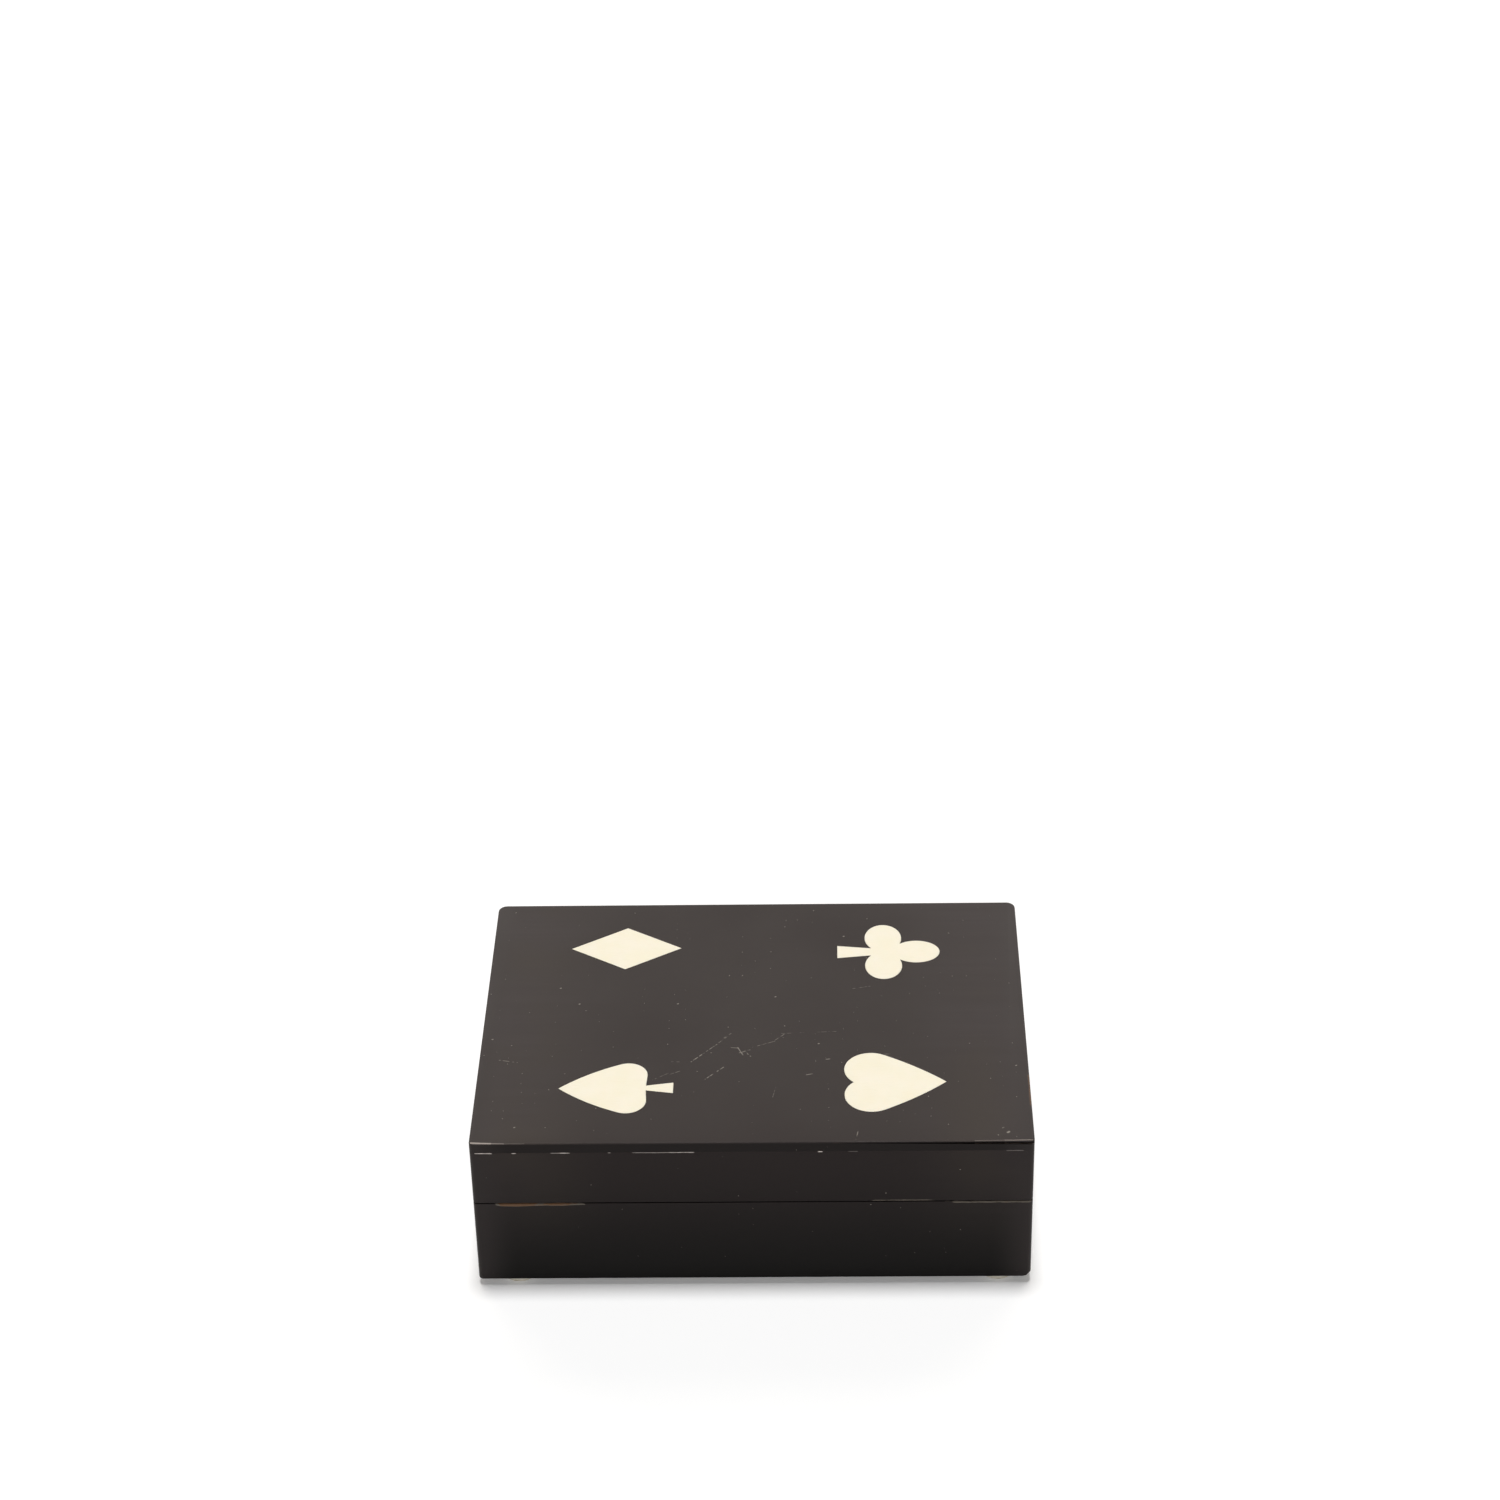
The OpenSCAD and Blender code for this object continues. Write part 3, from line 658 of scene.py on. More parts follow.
def aged_brass():
    """Drawn brass with a brown tarnish"""
    material, tree, shader, place, _ = start_finish("drawn brass, aged", Metallic=1.0)
    tarnish = add_node(tree, "ShaderNodeTexNoise", {
        "Vector": place, "Scale": 0.9, "Detail": 5, "Roughness": 0.6,
    })
    dull = add_node(tree, "ShaderNodeMapRange", {
        "Value": tarnish, "From Min": 0.4, "From Max": 0.68,
    }, interpolation_type="SMOOTHSTEP")
    metal = add_node(tree, "ShaderNodeMix", {
        "Factor": dull, "A": linear("#bf9d5d"), "B": linear("#7b5f3a"),
    }, data_type="RGBA")
    rough = add_node(tree, "ShaderNodeMapRange", {"Value": dull, "To Min": 0.28, "To Max": 0.5})
    # Drawing lines 0.15 mm apart, along the hinge
    lines_at = add_node(tree, "ShaderNodeMapping", {
        "Vector": place, "Scale": drawn_out("X", 0.03),
    })
    lines = add_node(tree, "ShaderNodeTexNoise", {"Vector": lines_at, "Scale": 6.5, "Detail": 2})
    end_finish(tree, shader, metal, rough, lines, strength=0.5, depth=0.01)
    return material


bone = polished_bone()
brass = aged_brass()
print("Finishes:", bone.name, "and", brass.name)

# %% [markdown]
# ## Felt and rubber
#
# Felt is matted wool: no weave, but short tangled fibres that catch light at a low angle,
# which the shader's sheen stands for. It is paler in patches, where cards have rubbed it.
#
# The feet are pale rubber, moulded, matt, and grubby round their lower edge. Their mould
# was not polished, so their skin is fine-grained.

# %% Mix felt and rubber
def wool_felt():
    """Green wool felt"""
    material, tree, shader, place, _ = start_finish(
        "wool felt, dyed green", Specular_IOR_Level=0.1, Sheen_Weight=0.35, Sheen_Roughness=0.5,
    )
    # Fibres 0.25 mm thick that wander in every direction, drawn coarser than wool
    twist = add_node(tree, "ShaderNodeTexNoise", {"Vector": place, "Scale": 0.5, "Detail": 2})
    moved = add_node(tree, "ShaderNodeVectorMath", {
        0: twist.outputs["Color"], 1: (5, 5, 5), 2: place,
    }, operation="MULTIPLY_ADD")
    fibres = add_node(tree, "ShaderNodeTexNoise", {
        "Vector": moved, "Scale": 2.2, "Detail": 5, "Roughness": 0.7,
    })
    tuft = add_node(tree, "ShaderNodeMapRange", {
        "Value": fibres, "From Min": 0.35, "From Max": 0.65,
    }, interpolation_type="SMOOTHSTEP")
    green = add_node(tree, "ShaderNodeMix", {
        "Factor": tuft, "A": linear("#17402c"), "B": linear("#2b6145"),
    }, data_type="RGBA")
    patches = add_node(tree, "ShaderNodeTexNoise", {"Vector": place, "Scale": 0.06, "Detail": 2})
    rubbed = add_node(tree, "ShaderNodeMapRange", {
        "Value": patches, "From Min": 0.45, "From Max": 0.75,
    }, interpolation_type="SMOOTHSTEP")
    paler = add_node(tree, "ShaderNodeMath", {0: rubbed, 1: 0.35}, operation="MULTIPLY")
    green = add_node(tree, "ShaderNodeMix", {
        "Factor": paler, "A": green, "B": linear("#3a6a4d"),
    }, data_type="RGBA")
    end_finish(tree, shader, green, 0.95, fibres, strength=0.9, depth=0.25)
    return material


def moulded_rubber():
    """Pale moulded rubber"""
    material, tree, shader, place, _ = start_finish("pale rubber, moulded", Specular_IOR_Level=0.3)
    height = add_node(tree, "ShaderNodeSeparateXYZ", {0: place}).outputs["Z"]
    smudge = add_node(tree, "ShaderNodeTexNoise", {"Vector": place, "Scale": 0.8, "Detail": 4})
    uneven = add_node(tree, "ShaderNodeMapRange", {
        "Value": smudge, "From Min": 0.35, "From Max": 0.7,
    }, interpolation_type="SMOOTHSTEP")
    cream = add_node(tree, "ShaderNodeMix", {
        "Factor": uneven, "A": linear("#f8f2e4"), "B": linear("#f1e9d6"),
    }, data_type="RGBA")
    low = add_node(tree, "ShaderNodeMapRange", {
        "Value": height, "From Min": 0.5, "From Max": 0.0,
    }, interpolation_type="SMOOTHSTEP")
    grime = add_node(tree, "ShaderNodeMath", {
        0: low, 1: smudge, 2: -0.25,
    }, operation="MULTIPLY_ADD", use_clamp=True)
    cream = add_node(tree, "ShaderNodeMix", {
        "Factor": grime, "A": cream, "B": linear("#9a7f58"),
    }, data_type="RGBA")
    rough = add_node(tree, "ShaderNodeMapRange", {"Value": smudge, "To Min": 0.5, "To Max": 0.75})
    skin = add_node(tree, "ShaderNodeTexNoise", {"Vector": place, "Scale": 5, "Detail": 2})
    end_finish(tree, shader, cream, rough, skin, strength=0.3, depth=0.02)
    return material


felt = wool_felt()
rubber = moulded_rubber()
print("Finishes:", felt.name, "and", rubber.name)

# %% [markdown]
# ## From points to a piece
#
# A piece is made as a list of points and faces in millimetres. Three things then turn it
# into a clean solid: points that fall on each other are merged, faces are turned outwards,
# and shading is smooth except over sharp corners. A closed solid has two faces at every
# edge, and the helper counts the edges where that fails, which must be none.

# %% Helpers for pieces
SAME_POINT = 0.0005
CRISP_CORNER = 32


def smooth_but_crisp(mesh):
    """Smooth shading, with an edge wherever two faces meet at more than the crisp corner"""
    bm = bmesh.new()
    bm.from_mesh(mesh)
    sharp = math.radians(CRISP_CORNER)
    for face in bm.faces:
        face.smooth = True
    for edge in bm.edges:
        edge.smooth = len(edge.link_faces) == 2 and edge.calc_face_angle(0) < sharp
    bm.to_mesh(mesh)
    bm.free()


def piece_from(name, bm, finish):
    """A new piece from an edited mesh"""
    mesh = bpy.data.meshes.new(name)
    open_edges = sum(len(edge.link_faces) != 2 for edge in bm.edges)
    bm.to_mesh(mesh)
    bm.free()
    mesh.materials.append(finish)
    smooth_but_crisp(mesh)
    piece = bpy.data.objects.new(name, mesh)
    scene.collection.objects.link(piece)
    print(name, "points:", len(mesh.vertices), "open edges:", open_edges)
    return piece


def solid_piece(name, points, faces, finish, marks=None):
    """A closed piece from points in millimetres, with any marks that its finish reads"""
    drawn = bpy.data.meshes.new("as drawn")
    drawn.from_pydata([Vector(p) * MM for p in points], [], faces)
    for mark, values in (marks or {}).items():
        drawn.attributes.new(mark, "FLOAT", "POINT").data.foreach_set("value", values)
    bm = bmesh.new()
    bm.from_mesh(drawn)
    bpy.data.meshes.remove(drawn)
    bmesh.ops.remove_doubles(bm, verts=bm.verts, dist=SAME_POINT * MM)
    bmesh.ops.recalc_face_normals(bm, faces=bm.faces)
    return piece_from(name, bm, finish)


def skin_over(loops):
    """Faces between neighbouring loops of points, and over the first and the last loop"""
    faces = [tuple(loops[0])[::-1], tuple(loops[-1])]
    for first, second in zip(loops, loops[1:]):
        faces += [(first[i - 1], first[i], second[i], second[i - 1]) for i in range(len(first))]
    return faces


def take_place(piece, body, slot, *nodes):
    """The piece rides on its body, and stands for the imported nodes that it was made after"""
    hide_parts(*nodes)
    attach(piece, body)


print("Points closer than", SAME_POINT, "mm are merged")

# %% [markdown]
# ## The eight wall boards
#
# The box was glued up closed from four boards mitred at the corners, and the lid was then
# sawn off along the seam. So the walls of base and lid share one grain.
#
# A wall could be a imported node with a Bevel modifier, but real edges are not all rounded
# alike: the seam is rubbed by thumbs, one lower corner has been knocked round, and only
# some edges show brown wood. So each wall is drawn as a maker would run a moulding: one
# section, carried along the board from mitre to mitre, and slightly different at each
# place. A section point is written as its depth from the outer face and its distance from
# the seam. Base and lid are then the same board, drawn down or up from the seam.
#
# What is cut into the rim is a height at each place: the bevel that stops the lid, the
# recess for each hinge leaf and the round groove for its knuckles. So the walls need no
# boolean cuts at all. The small holes of the hinge screws are left out, because nothing
# shows them.

# %% Sizes of the walls, in millimetres
WIDTH, DEPTH, WALL = 152.0, 111.0, 8.0
FRONT_CORNER, BACK_CORNER = 1.3, 2.5
SEAM_GAP = 0.15
SEAM = frame["joints"][0]["pos_m"][2] / MM
HINGE_Y = frame["joints"][0]["pos_m"][1] / MM
BASE_HEIGHT, LID_HEIGHT = 27.0, 17.6
FLOOR_STEP, FLOOR_DROP = 3.5, 23  # the step that holds the floor board, and its distance down
BEVEL, BEVEL_START = math.radians(50), 0.1
HINGE_X, HALF_RECESS, LEAF_REACH, LEAF_DEPTH, GROOVE = 46.0, 11.1, 5.3, 1.1, 1.85
HALF_SLOT, SLOT_DEPTH = 2.1, 2.0
# Depths at which a hinged rim has a row of points. The last comes twice, where a recess ends
RIM_STOPS = [0.689, 0.85, 1.1, 1.45, 1.8, 1.93, 2.3, 2.7, 3.0, 3.287, 7.1, 7.1]
PAST_RECESS = 7.2
print("The seam is", round(SEAM, 2), "mm up, and the hinge line is at y =", round(HINGE_Y, 2))

# %% [markdown]
# The wear is a short table for each edge: a place along the front, and how worn the edge is
# there, from 0 to 1. The pale dashes are wax filler that shows in the joint under the lid's
# top board: where each starts and ends, and how much of it shows.

# %% Wear along the front
BASE_SEAM_WEAR = [
    (-70.5, 0.1), (-69, 0.85), (-64, 1), (-60, 0.8), (-57, 0.7), (-52, 0.78),
    (-49, 0.65), (-45, 0.42), (-40, 0.2), (50, 0.2), (56, 0.5), (75, 0.54),
]
LID_SEAM_WEAR = [(-76, 0.2), (30, 0.2), (33, 0.52), (48, 0.5), (50, 0.25)]
FILLER_DASHES = [
    (-74.3, -70, 1), (-64.6, -63.7, 1), (-53.8, -51.5, 0.45), (-51.5, -49, 1),
    (-38.7, -38.2, 0.6), (-32.2, -22, 0.42), (-22, -15.5, 0.75), (18.2, 18.9, 1.6),
    (26, 28.4, 0.15), (68.5, 73.1, 0.22),
]
EVEN_WEAR = 0.2  # the wear of an edge that has no table


def along_table(table, x):
    """The value at x on straight lines between the rows of a table"""
    if x <= table[0][0]:
        return table[0][1]
    for (x0, v0), (x1, v1) in zip(table, table[1:]):
        if x <= x1:
            return v0 + (v1 - v0) * (x - x0) / (x1 - x0)
    return table[-1][1]


def filler_at(x):
    """How much filler shows in the joint at x"""
    uneven = 0.75 + 0.5 * noise.noise(Vector((x * 0.9, 4.0, 0.0)))
    shown = (amount * uneven for start, end, amount in FILLER_DASHES if start <= x <= end)
    return max(shown, default=0)


print("At x = -50 mm, filler:", filler_at(-50), "and wear:", along_table(BASE_SEAM_WEAR, -50))

# %% [markdown]
# A section runs all round the board. It starts at the far edge, which is the underside of
# the base or the joint of the lid, goes along the outer face to the seam, over the rim, and
# back along the inner face. Each rounding has a row of points just beside it, so that the
# flat faces stay flat when the shading is smoothed. The last rows of the outer face carry
# the wear, and the first rows the filler.

# %% Draw a section
FAR_ROUND = {"base": 0.4, "lid": 0.15}
SEAM_ROUND, MORE_WHEN_WORN, WORN_FROM = 0.24, 0.42, 0.3
INNER_ROUND = 0.25
BESIDE = 0.15
STAIN_ENDS = 1.5  # the stain ran this far down the inside of the walls


def quarter(radius, steps=4):
    """Points of a quarter round, as distances from the two faces that it joins"""
    turns = [math.pi / 2 * i / steps for i in range(steps + 1)]
    return [(radius * (1 - math.cos(a)), radius * (1 - math.sin(a))) for a in turns]


def wall_section(height, inner_end, rim_stops, far_round, seam_round, wear, filler):
    """Rows of depth, distance from the seam, bare, worn and filler, all round one section"""
    rows = [(far_round + BESIDE, height, 0, 0, 0)]
    rows += [(d, height - h, 0, 0, filler) for d, h in reversed(quarter(far_round, 7))]
    filler_end, flat_start, flat_end, fade = 0.07, 0.15, 1.8, 0.2
    rows += [(0, height - far_round - filler_end, 0, 0, filler)]
    rows += [(0, height - far_round - flat_start, 0, 0, 0), (0, flat_end, 0, 0, 0)]
    worn_edge = SEAM_GAP + seam_round + 0.05 + 0.5 * max(wear - 0.6, 0)
    rows += [(0, worn_edge + fade, 0, 0, 0), (0, worn_edge, 0, wear, 0)]
    rows += [(d, SEAM_GAP + h, 0, wear, 0) for d, h in quarter(seam_round)]
    rows += [(seam_round + BESIDE, SEAM_GAP, 0, wear / 2, 0)]
    gap_end, rim_start = 1.3, 1.8
    plain_rim = [(gap_end, SEAM_GAP, 0, 0, 0), (rim_start, 0, 0, 0, 0)]
    rows += [(d, 0, 0, 0, 0) for d in rim_stops] or plain_rim
    rows += [(WALL - INNER_ROUND - BESIDE, 0, 0, 0, 0)]
    rows += [(WALL - h, d, 0, 0, 0) for d, h in quarter(INNER_ROUND, 3)]
    rows += [(WALL, INNER_ROUND + BESIDE, 0, 0, 0), (WALL, STAIN_ENDS, 1, 0, 0)]
    return rows + [(d, h, 1, 0, 0) for d, h in inner_end]


# The last row of the rim, and the seven between it and the inner end
ROWS_FROM_LAST_STOP = 8
plain_section = wall_section(
    LID_HEIGHT, [(WALL, LID_HEIGHT)], [], FAR_ROUND["lid"], SEAM_ROUND, EVEN_WEAR, 0,
)
print("Rows in a plain section:", len(plain_section))

# %% [markdown]
# Along the board, a station is a place where the section is set down. The half of each
# round corner that belongs to the board has its own stations, each turned a little
# further. Where a recess or slot starts or ends, the place comes twice, once without the
# cut and once with it, so that the cut gets an upright side.

# %% Place the stations
CORNER_STEPS = 8


def rim_drop(x, y, depth, in_recess):
    """How far below the seam the rim lies at a place, and whether it is cut raw there"""
    bevel = (BEVEL_START + math.sin(BEVEL) * (y - HINGE_Y)) / math.cos(BEVEL)
    cut = 0.0
    if in_recess:
        hinge_depth = DEPTH / 2 - HINGE_Y
        cut = math.sqrt(max(GROOVE ** 2 - (depth - hinge_depth) ** 2, 0))
        if hinge_depth <= depth <= hinge_depth + LEAF_REACH:
            cut = max(cut, LEAF_DEPTH)
    clearly = 0.02
    return max(bevel, cut, 0.0), cut > max(bevel, 0) + clearly


def wall_stations(start, end, pitch, hinges, slot):
    """Places along a board as distance, bend of the corner, recess and slot"""
    bends = [math.radians(45) * i / CORNER_STEPS for i in range(CORNER_STEPS + 1)]
    count = math.ceil((end - start) / pitch)
    straight = {(start + (end - start) * i / count, 0, 0) for i in range(count + 1)}
    if hinges:
        for middle in (-HINGE_X, HINGE_X):
            low, high = middle - HALF_RECESS, middle + HALF_RECESS
            straight = {(u, 1 if low < u < high else recess, cut) for u, recess, cut in straight}
            straight |= {(low, 0, 0), (low, 1, 0), (high, 1, 0), (high, 0, 0)}
    if slot:
        straight = {(u, recess, 1 if abs(u) < HALF_SLOT else 0) for u, recess, _ in straight}
        straight |= {(u, 0, cut) for u in (-HALF_SLOT, HALF_SLOT) for cut in (0, 1)}

    def order(place):
        u, recess, cut = place
        opens = u < 0 if cut or abs(u) == HALF_SLOT else (abs(u) > HINGE_X) == (u < 0)
        return (u, (recess + cut) * (1 if opens else -1))

    left = [(start, bend, 0, 0) for bend in reversed(bends[1:])]
    middle = [(u, 0, recess, cut) for u, recess, cut in sorted(straight, key=order)]
    return left + middle + [(end, bend, 0, 0) for bend in bends[1:]]


print("Stations on the back board:", len(wall_stations(-73.5, 73.5, 4.0, True, True)))

# %% [markdown]
# Each wall is now its section at every station, skinned over. The roundings waver a little
# along the board, as sanding by hand leaves them. The knocked corner is a larger rounding
# of the lower edge that fades out on both of the walls that meet there.

# %% Make the walls
KNOCK, KNOCK_REACH = 1.4, {"front": 0.9, "right": 1.8}
FAR_WAVER, SEAM_WAVER = 0.06, 0.05
SIDES = ("front", "right", "back", "left")


def wall_board(
    body, side, finish, pitch=4.0, hinges=False, slot=False, wear=None, filler=None, knocked_end=0,
):
    """One wall of the base or the lid. wear is the table of its seam, filler says how much
    filler shows at a place, and knocked_end is the end, -1 or 1, whose lower corner is
    knocked round"""
    lid, turn_count = body == "lid", SIDES.index(side)
    run, span = (DEPTH, WIDTH) if side in ("left", "right") else (WIDTH, DEPTH)
    height = LID_HEIGHT if lid else BASE_HEIGHT
    stepped_end = [(WALL, FLOOR_DROP), (WALL - FLOOR_STEP, FLOOR_DROP), (WALL - FLOOR_STEP, height)]
    inner_end = [(WALL, height)] if lid else stepped_end
    rim_stops = RIM_STOPS if hinges else []
    quarter_turns = Matrix.Rotation(math.pi / 2 * turn_count, 3, "Z")
    meets_back = {"front": (), "right": (1,), "back": (-1, 1), "left": (-1,)}[side]
    corners = [BACK_CORNER if end in meets_back else FRONT_CORNER for end in (-1, 1)]
    first, last = corners[0] - run / 2, run / 2 - corners[1]
    points, marks, loops = [], {"bare": [], "worn": [], "filler": []}, []
    for u, bend, recess, cut in wall_stations(first, last, pitch, hinges, slot):
        corner = corners[u > 0]
        worn = along_table(wear, u) if wear else EVEN_WEAR
        # Each board reads its own stretch of the noise
        waver = noise.noise(Vector((u * 0.2, turn_count * 9.1, height)))
        far_round = FAR_ROUND[body] + FAR_WAVER * waver
        if knocked_end:
            from_corner = run / 2 - corner - knocked_end * u + (math.pi / 4 - bend) * corner
            far_round += KNOCK * math.exp(-(from_corner / KNOCK_REACH[side]) ** 2)
        waver = noise.noise(Vector((u * 0.3, turn_count * 5.3, 2.0 * lid)))
        seam_round = SEAM_ROUND + MORE_WHEN_WORN * max(worn - WORN_FROM, 0) + SEAM_WAVER * waver
        filled = filler(u) if filler else 0
        rows = wall_section(height, inner_end, rim_stops, far_round, seam_round, worn, filled)
        last_stop = len(rows) - len(inner_end) - ROWS_FROM_LAST_STOP
        loops.append(range(len(points), len(points) + len(rows)))
        for number, (depth, drop, bare, worn_here, filled_here) in enumerate(rows):
            if cut and depth > WALL - SLOT_DEPTH:
                depth, bare = WALL - SLOT_DEPTH, 1 if drop > 0.02 else 0
            limit = run / 2 - max(depth, corner)
            x, y = max(-limit, min(limit, u)), depth
            if depth < corner:
                x += math.copysign(1, u) * (corner - depth) * math.sin(bend)
                y = corner - (corner - depth) * math.cos(bend)
            place = quarter_turns @ Vector((x, y - span / 2, 0))
            if hinges or side in ("left", "right"):
                in_recess = recess and number != last_stop and depth < PAST_RECESS
                low, raw = rim_drop(place.x, place.y, depth, in_recess)
                if low > drop:
                    drop, bare, worn_here = low, 1 if raw else bare, 0
            place.z = SEAM + (drop if lid else -drop)
            points.append(place)
            for mark, value in zip(marks, (bare, worn_here, filled_here)):
                marks[mark].append(value)
    return solid_piece(f"{body}_{side}_board", points, skin_over(loops), finish, marks)


walls = [
    wall_board(
        "base", "front", long_wood, pitch=1.0, slot=True, wear=BASE_SEAM_WEAR, knocked_end=1,
    ),
    wall_board("base", "right", side_wood, pitch=1.5, knocked_end=-1),
    wall_board("base", "back", long_wood, hinges=True, slot=True),
    wall_board("base", "left", side_wood),
    wall_board("lid", "front", long_wood, pitch=0.5, wear=LID_SEAM_WEAR, filler=filler_at),
    wall_board("lid", "right", side_wood),
    wall_board("lid", "back", long_wood, hinges=True),
    wall_board("lid", "left", side_wood),
]
for wall in walls:
    body, side, _ = wall.name.split("_")
    take_place(wall, body, "ebonised_wood", f"{body}_{side}_wall")

# %% [markdown]
# ## The floor board and the divider
#
# The floor board and the divider are plain boards in the model. Here their edges are eased,
# and the divider's upper edge is rounded over, so that cards slide past it. A Bevel
# modifier would give all edges one radius, so the boards are drawn like the walls, as one
# outline that is carried up and drawn in at both ends.

# %% Make the floor board and the divider
BESIDE_EASE = 0.2


def plain_board(name, node, finish, lower_ease, upper_ease):
    """A board the size of its node, with a radius for its lower and its upper edges"""
    low, high = (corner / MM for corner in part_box(node))
    lower_flat, upper_flat = lower_ease + BESIDE_EASE, upper_ease + BESIDE_EASE
    lower, upper = reversed(quarter(lower_ease, 5)), quarter(upper_ease, 5)
    section = [(lower_flat, low.z), *((d, low.z + h) for d, h in lower), (0, low.z + lower_flat)]
    section += [(0, high.z - upper_flat), *((d, high.z - h) for d, h in upper)]
    section += [(upper_flat, high.z)]
    points, loops = [], []
    for d, z in section:
        loops.append(range(len(points), len(points) + 4))
        left, right, front, back = low.x + d, high.x - d, low.y + d, high.y - d
        points += [(left, front, z), (right, front, z), (right, back, z), (left, back, z)]
    return solid_piece(name, points, skin_over(loops), finish)


floor_board = plain_board("floor_of_bare_wood", "floor_board", bare_wood, 0.35, 0.1)
take_place(floor_board, "base", "inner_wood", "floor_board")
divider = plain_board("divider_between_decks", "card_divider", bare_wood_side, 0.1, 0.9)
take_place(divider, "base", "inner_wood", "card_divider")

# %% [markdown]
# ## The top board
#
# The top board is copied from the model for the sake of its four exact pockets, and its
# rim is then reworked: every point of the rim knows how far in it lies and how high up its
# rounding, so the rounding can be given a new radius. It is crisp along the front, as in the
# picture, and rubbed rounder towards the two front corners.
#
# In the picture a black line opens under the front edge and grows towards the right: the
# old edge has lifted along the grain. It is a real crack here, a wedge between an upper and
# a lower lip, and so shallow that it is dark only because light hardly reaches into it.

# %% Helpers for the top board
MODEL_CORNER, MODEL_ROUND = 2.0, 1.0
EDGE_ROUND, CRISPER_IN_FRONT = 0.45, 0.17
# Along the front the edge is rounder from a first place to a second, by this much at the last
RUBBED_ENDS = [(-58, -76, 0.45), (68, 76, 0.25)]
CRACK_FACE = -54  # a point with a smaller y is on the front of the board
HAIR = 0.001


def merged_copy(node):
    """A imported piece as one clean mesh, with its flat faces made whole"""
    bm = bmesh.new()
    bm.from_mesh(frame["nodes"][node].data)
    bmesh.ops.remove_doubles(bm, verts=bm.verts, dist=SAME_POINT * MM)
    bmesh.ops.dissolve_limit(bm, angle_limit=math.radians(0.4), verts=bm.verts, edges=bm.edges)
    return bm


def add_line_across(bm, x):
    """Gives a mesh a ring of points at x, and leaves its shape as it is"""
    everything = bm.verts[:] + bm.edges[:] + bm.faces[:]
    bmesh.ops.bisect_plane(bm, geom=everything, plane_co=(x * MM, 0, 0), plane_no=(1, 0, 0))


def open_crack(bm, start, full_from, end, lip, opening, depth):
    """Opens a crack in the front, under the height of the lip, from nothing at start. It is
    as deep as it gets at full_from, and as wide as its opening at end"""
    slope = opening / (end - start)
    lower_lip, margin = 0.03, 0.01
    for x in (start, full_from):
        add_line_across(bm, x)
    for below, lean in ((0, 0), (0.02, 0), (lower_lip, slope), (0.05, slope)):
        faces = [
            face for face in bm.faces
            if all(v.co.x > (start - margin) * MM and v.co.y < CRACK_FACE * MM for v in face.verts)
        ]
        edges = {edge for face in faces for edge in face.edges}
        verts = {vert for face in faces for vert in face.verts}
        through = (start * MM, 0, (lip - below) * MM)
        bmesh.ops.bisect_plane(
            bm, geom=[*verts, *edges, *faces], plane_co=through, plane_no=(lean, 0, 1),
        )
    for vert in bm.verts:
        x, y, z = vert.co / MM
        lower = lip - lower_lip - slope * (x - start)
        if x > start - margin and y < CRACK_FACE and lower - margin < z < lip - margin:
            fades = min(1, (x - start) / (full_from - start), max(0, WIDTH / 2 - x))
            vert.co.y += depth * fades * MM


print("The top's edge is rounded by", EDGE_ROUND, "mm, and in front by less")

# %% [markdown]
# The rework first adds rings of points where the new rounding changes. Then each point of
# the rim is moved: its angle on the model's rounding is kept, and so is the way it looks
# in plan, while the radius is the new one.

# %% Make the top board
def reworked_top(name, node, finish):
    """The top board with new roundings: along its upper edge, and at its corners in plan"""
    bm = merged_copy(node)
    for x in (-70, -62, 70):
        add_line_across(bm, x)
    low, high = (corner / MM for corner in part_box(node))
    for vert in bm.verts:
        x, y, z = vert.co / MM
        inner_x = max(low.x + MODEL_CORNER, min(high.x - MODEL_CORNER, x))
        inner_y = max(low.y + MODEL_CORNER, min(high.y - MODEL_CORNER, y))
        away = Vector((x - inner_x, y - inner_y))
        if away.length < MODEL_CORNER - MODEL_ROUND - HAIR:
            continue
        inset, outward = MODEL_CORNER - away.length, away.normalized()
        if z > high.z - MODEL_ROUND - HAIR:
            rise = math.atan2(z - high.z + MODEL_ROUND, MODEL_ROUND - inset)
            front = max(-outward.y, 0) ** 2
            rubbed = sum(
                max(0, (x - start) / (end - start)) * more for start, end, more in RUBBED_ENDS
            )
            radius = EDGE_ROUND + front * (rubbed - CRISPER_IN_FRONT)
            inset, z = radius * (1 - math.cos(rise)), high.z - radius * (1 - math.sin(rise))
        if abs(x) > high.x - MODEL_CORNER - HAIR and abs(y) > high.y - MODEL_CORNER - HAIR:
            corner = FRONT_CORNER if y < 0 else BACK_CORNER
            middle = Vector((math.copysign(high.x - corner, x), math.copysign(high.y - corner, y)))
            spot = middle + outward * (corner - inset)
        else:
            spot = Vector((x, y)) + outward * (MODEL_CORNER - inset - away.length)
        vert.co = Vector((*spot, z)) * MM
    open_crack(bm, start=22, full_from=34, end=70, lip=high.z - 0.29, opening=0.75, depth=0.9)
    return piece_from(name, bm, finish)


top_board = reworked_top("top_board_of_pear", "lid_top_board", lid_wood)
take_place(top_board, "lid", "ebonised_wood", "lid_top_board")
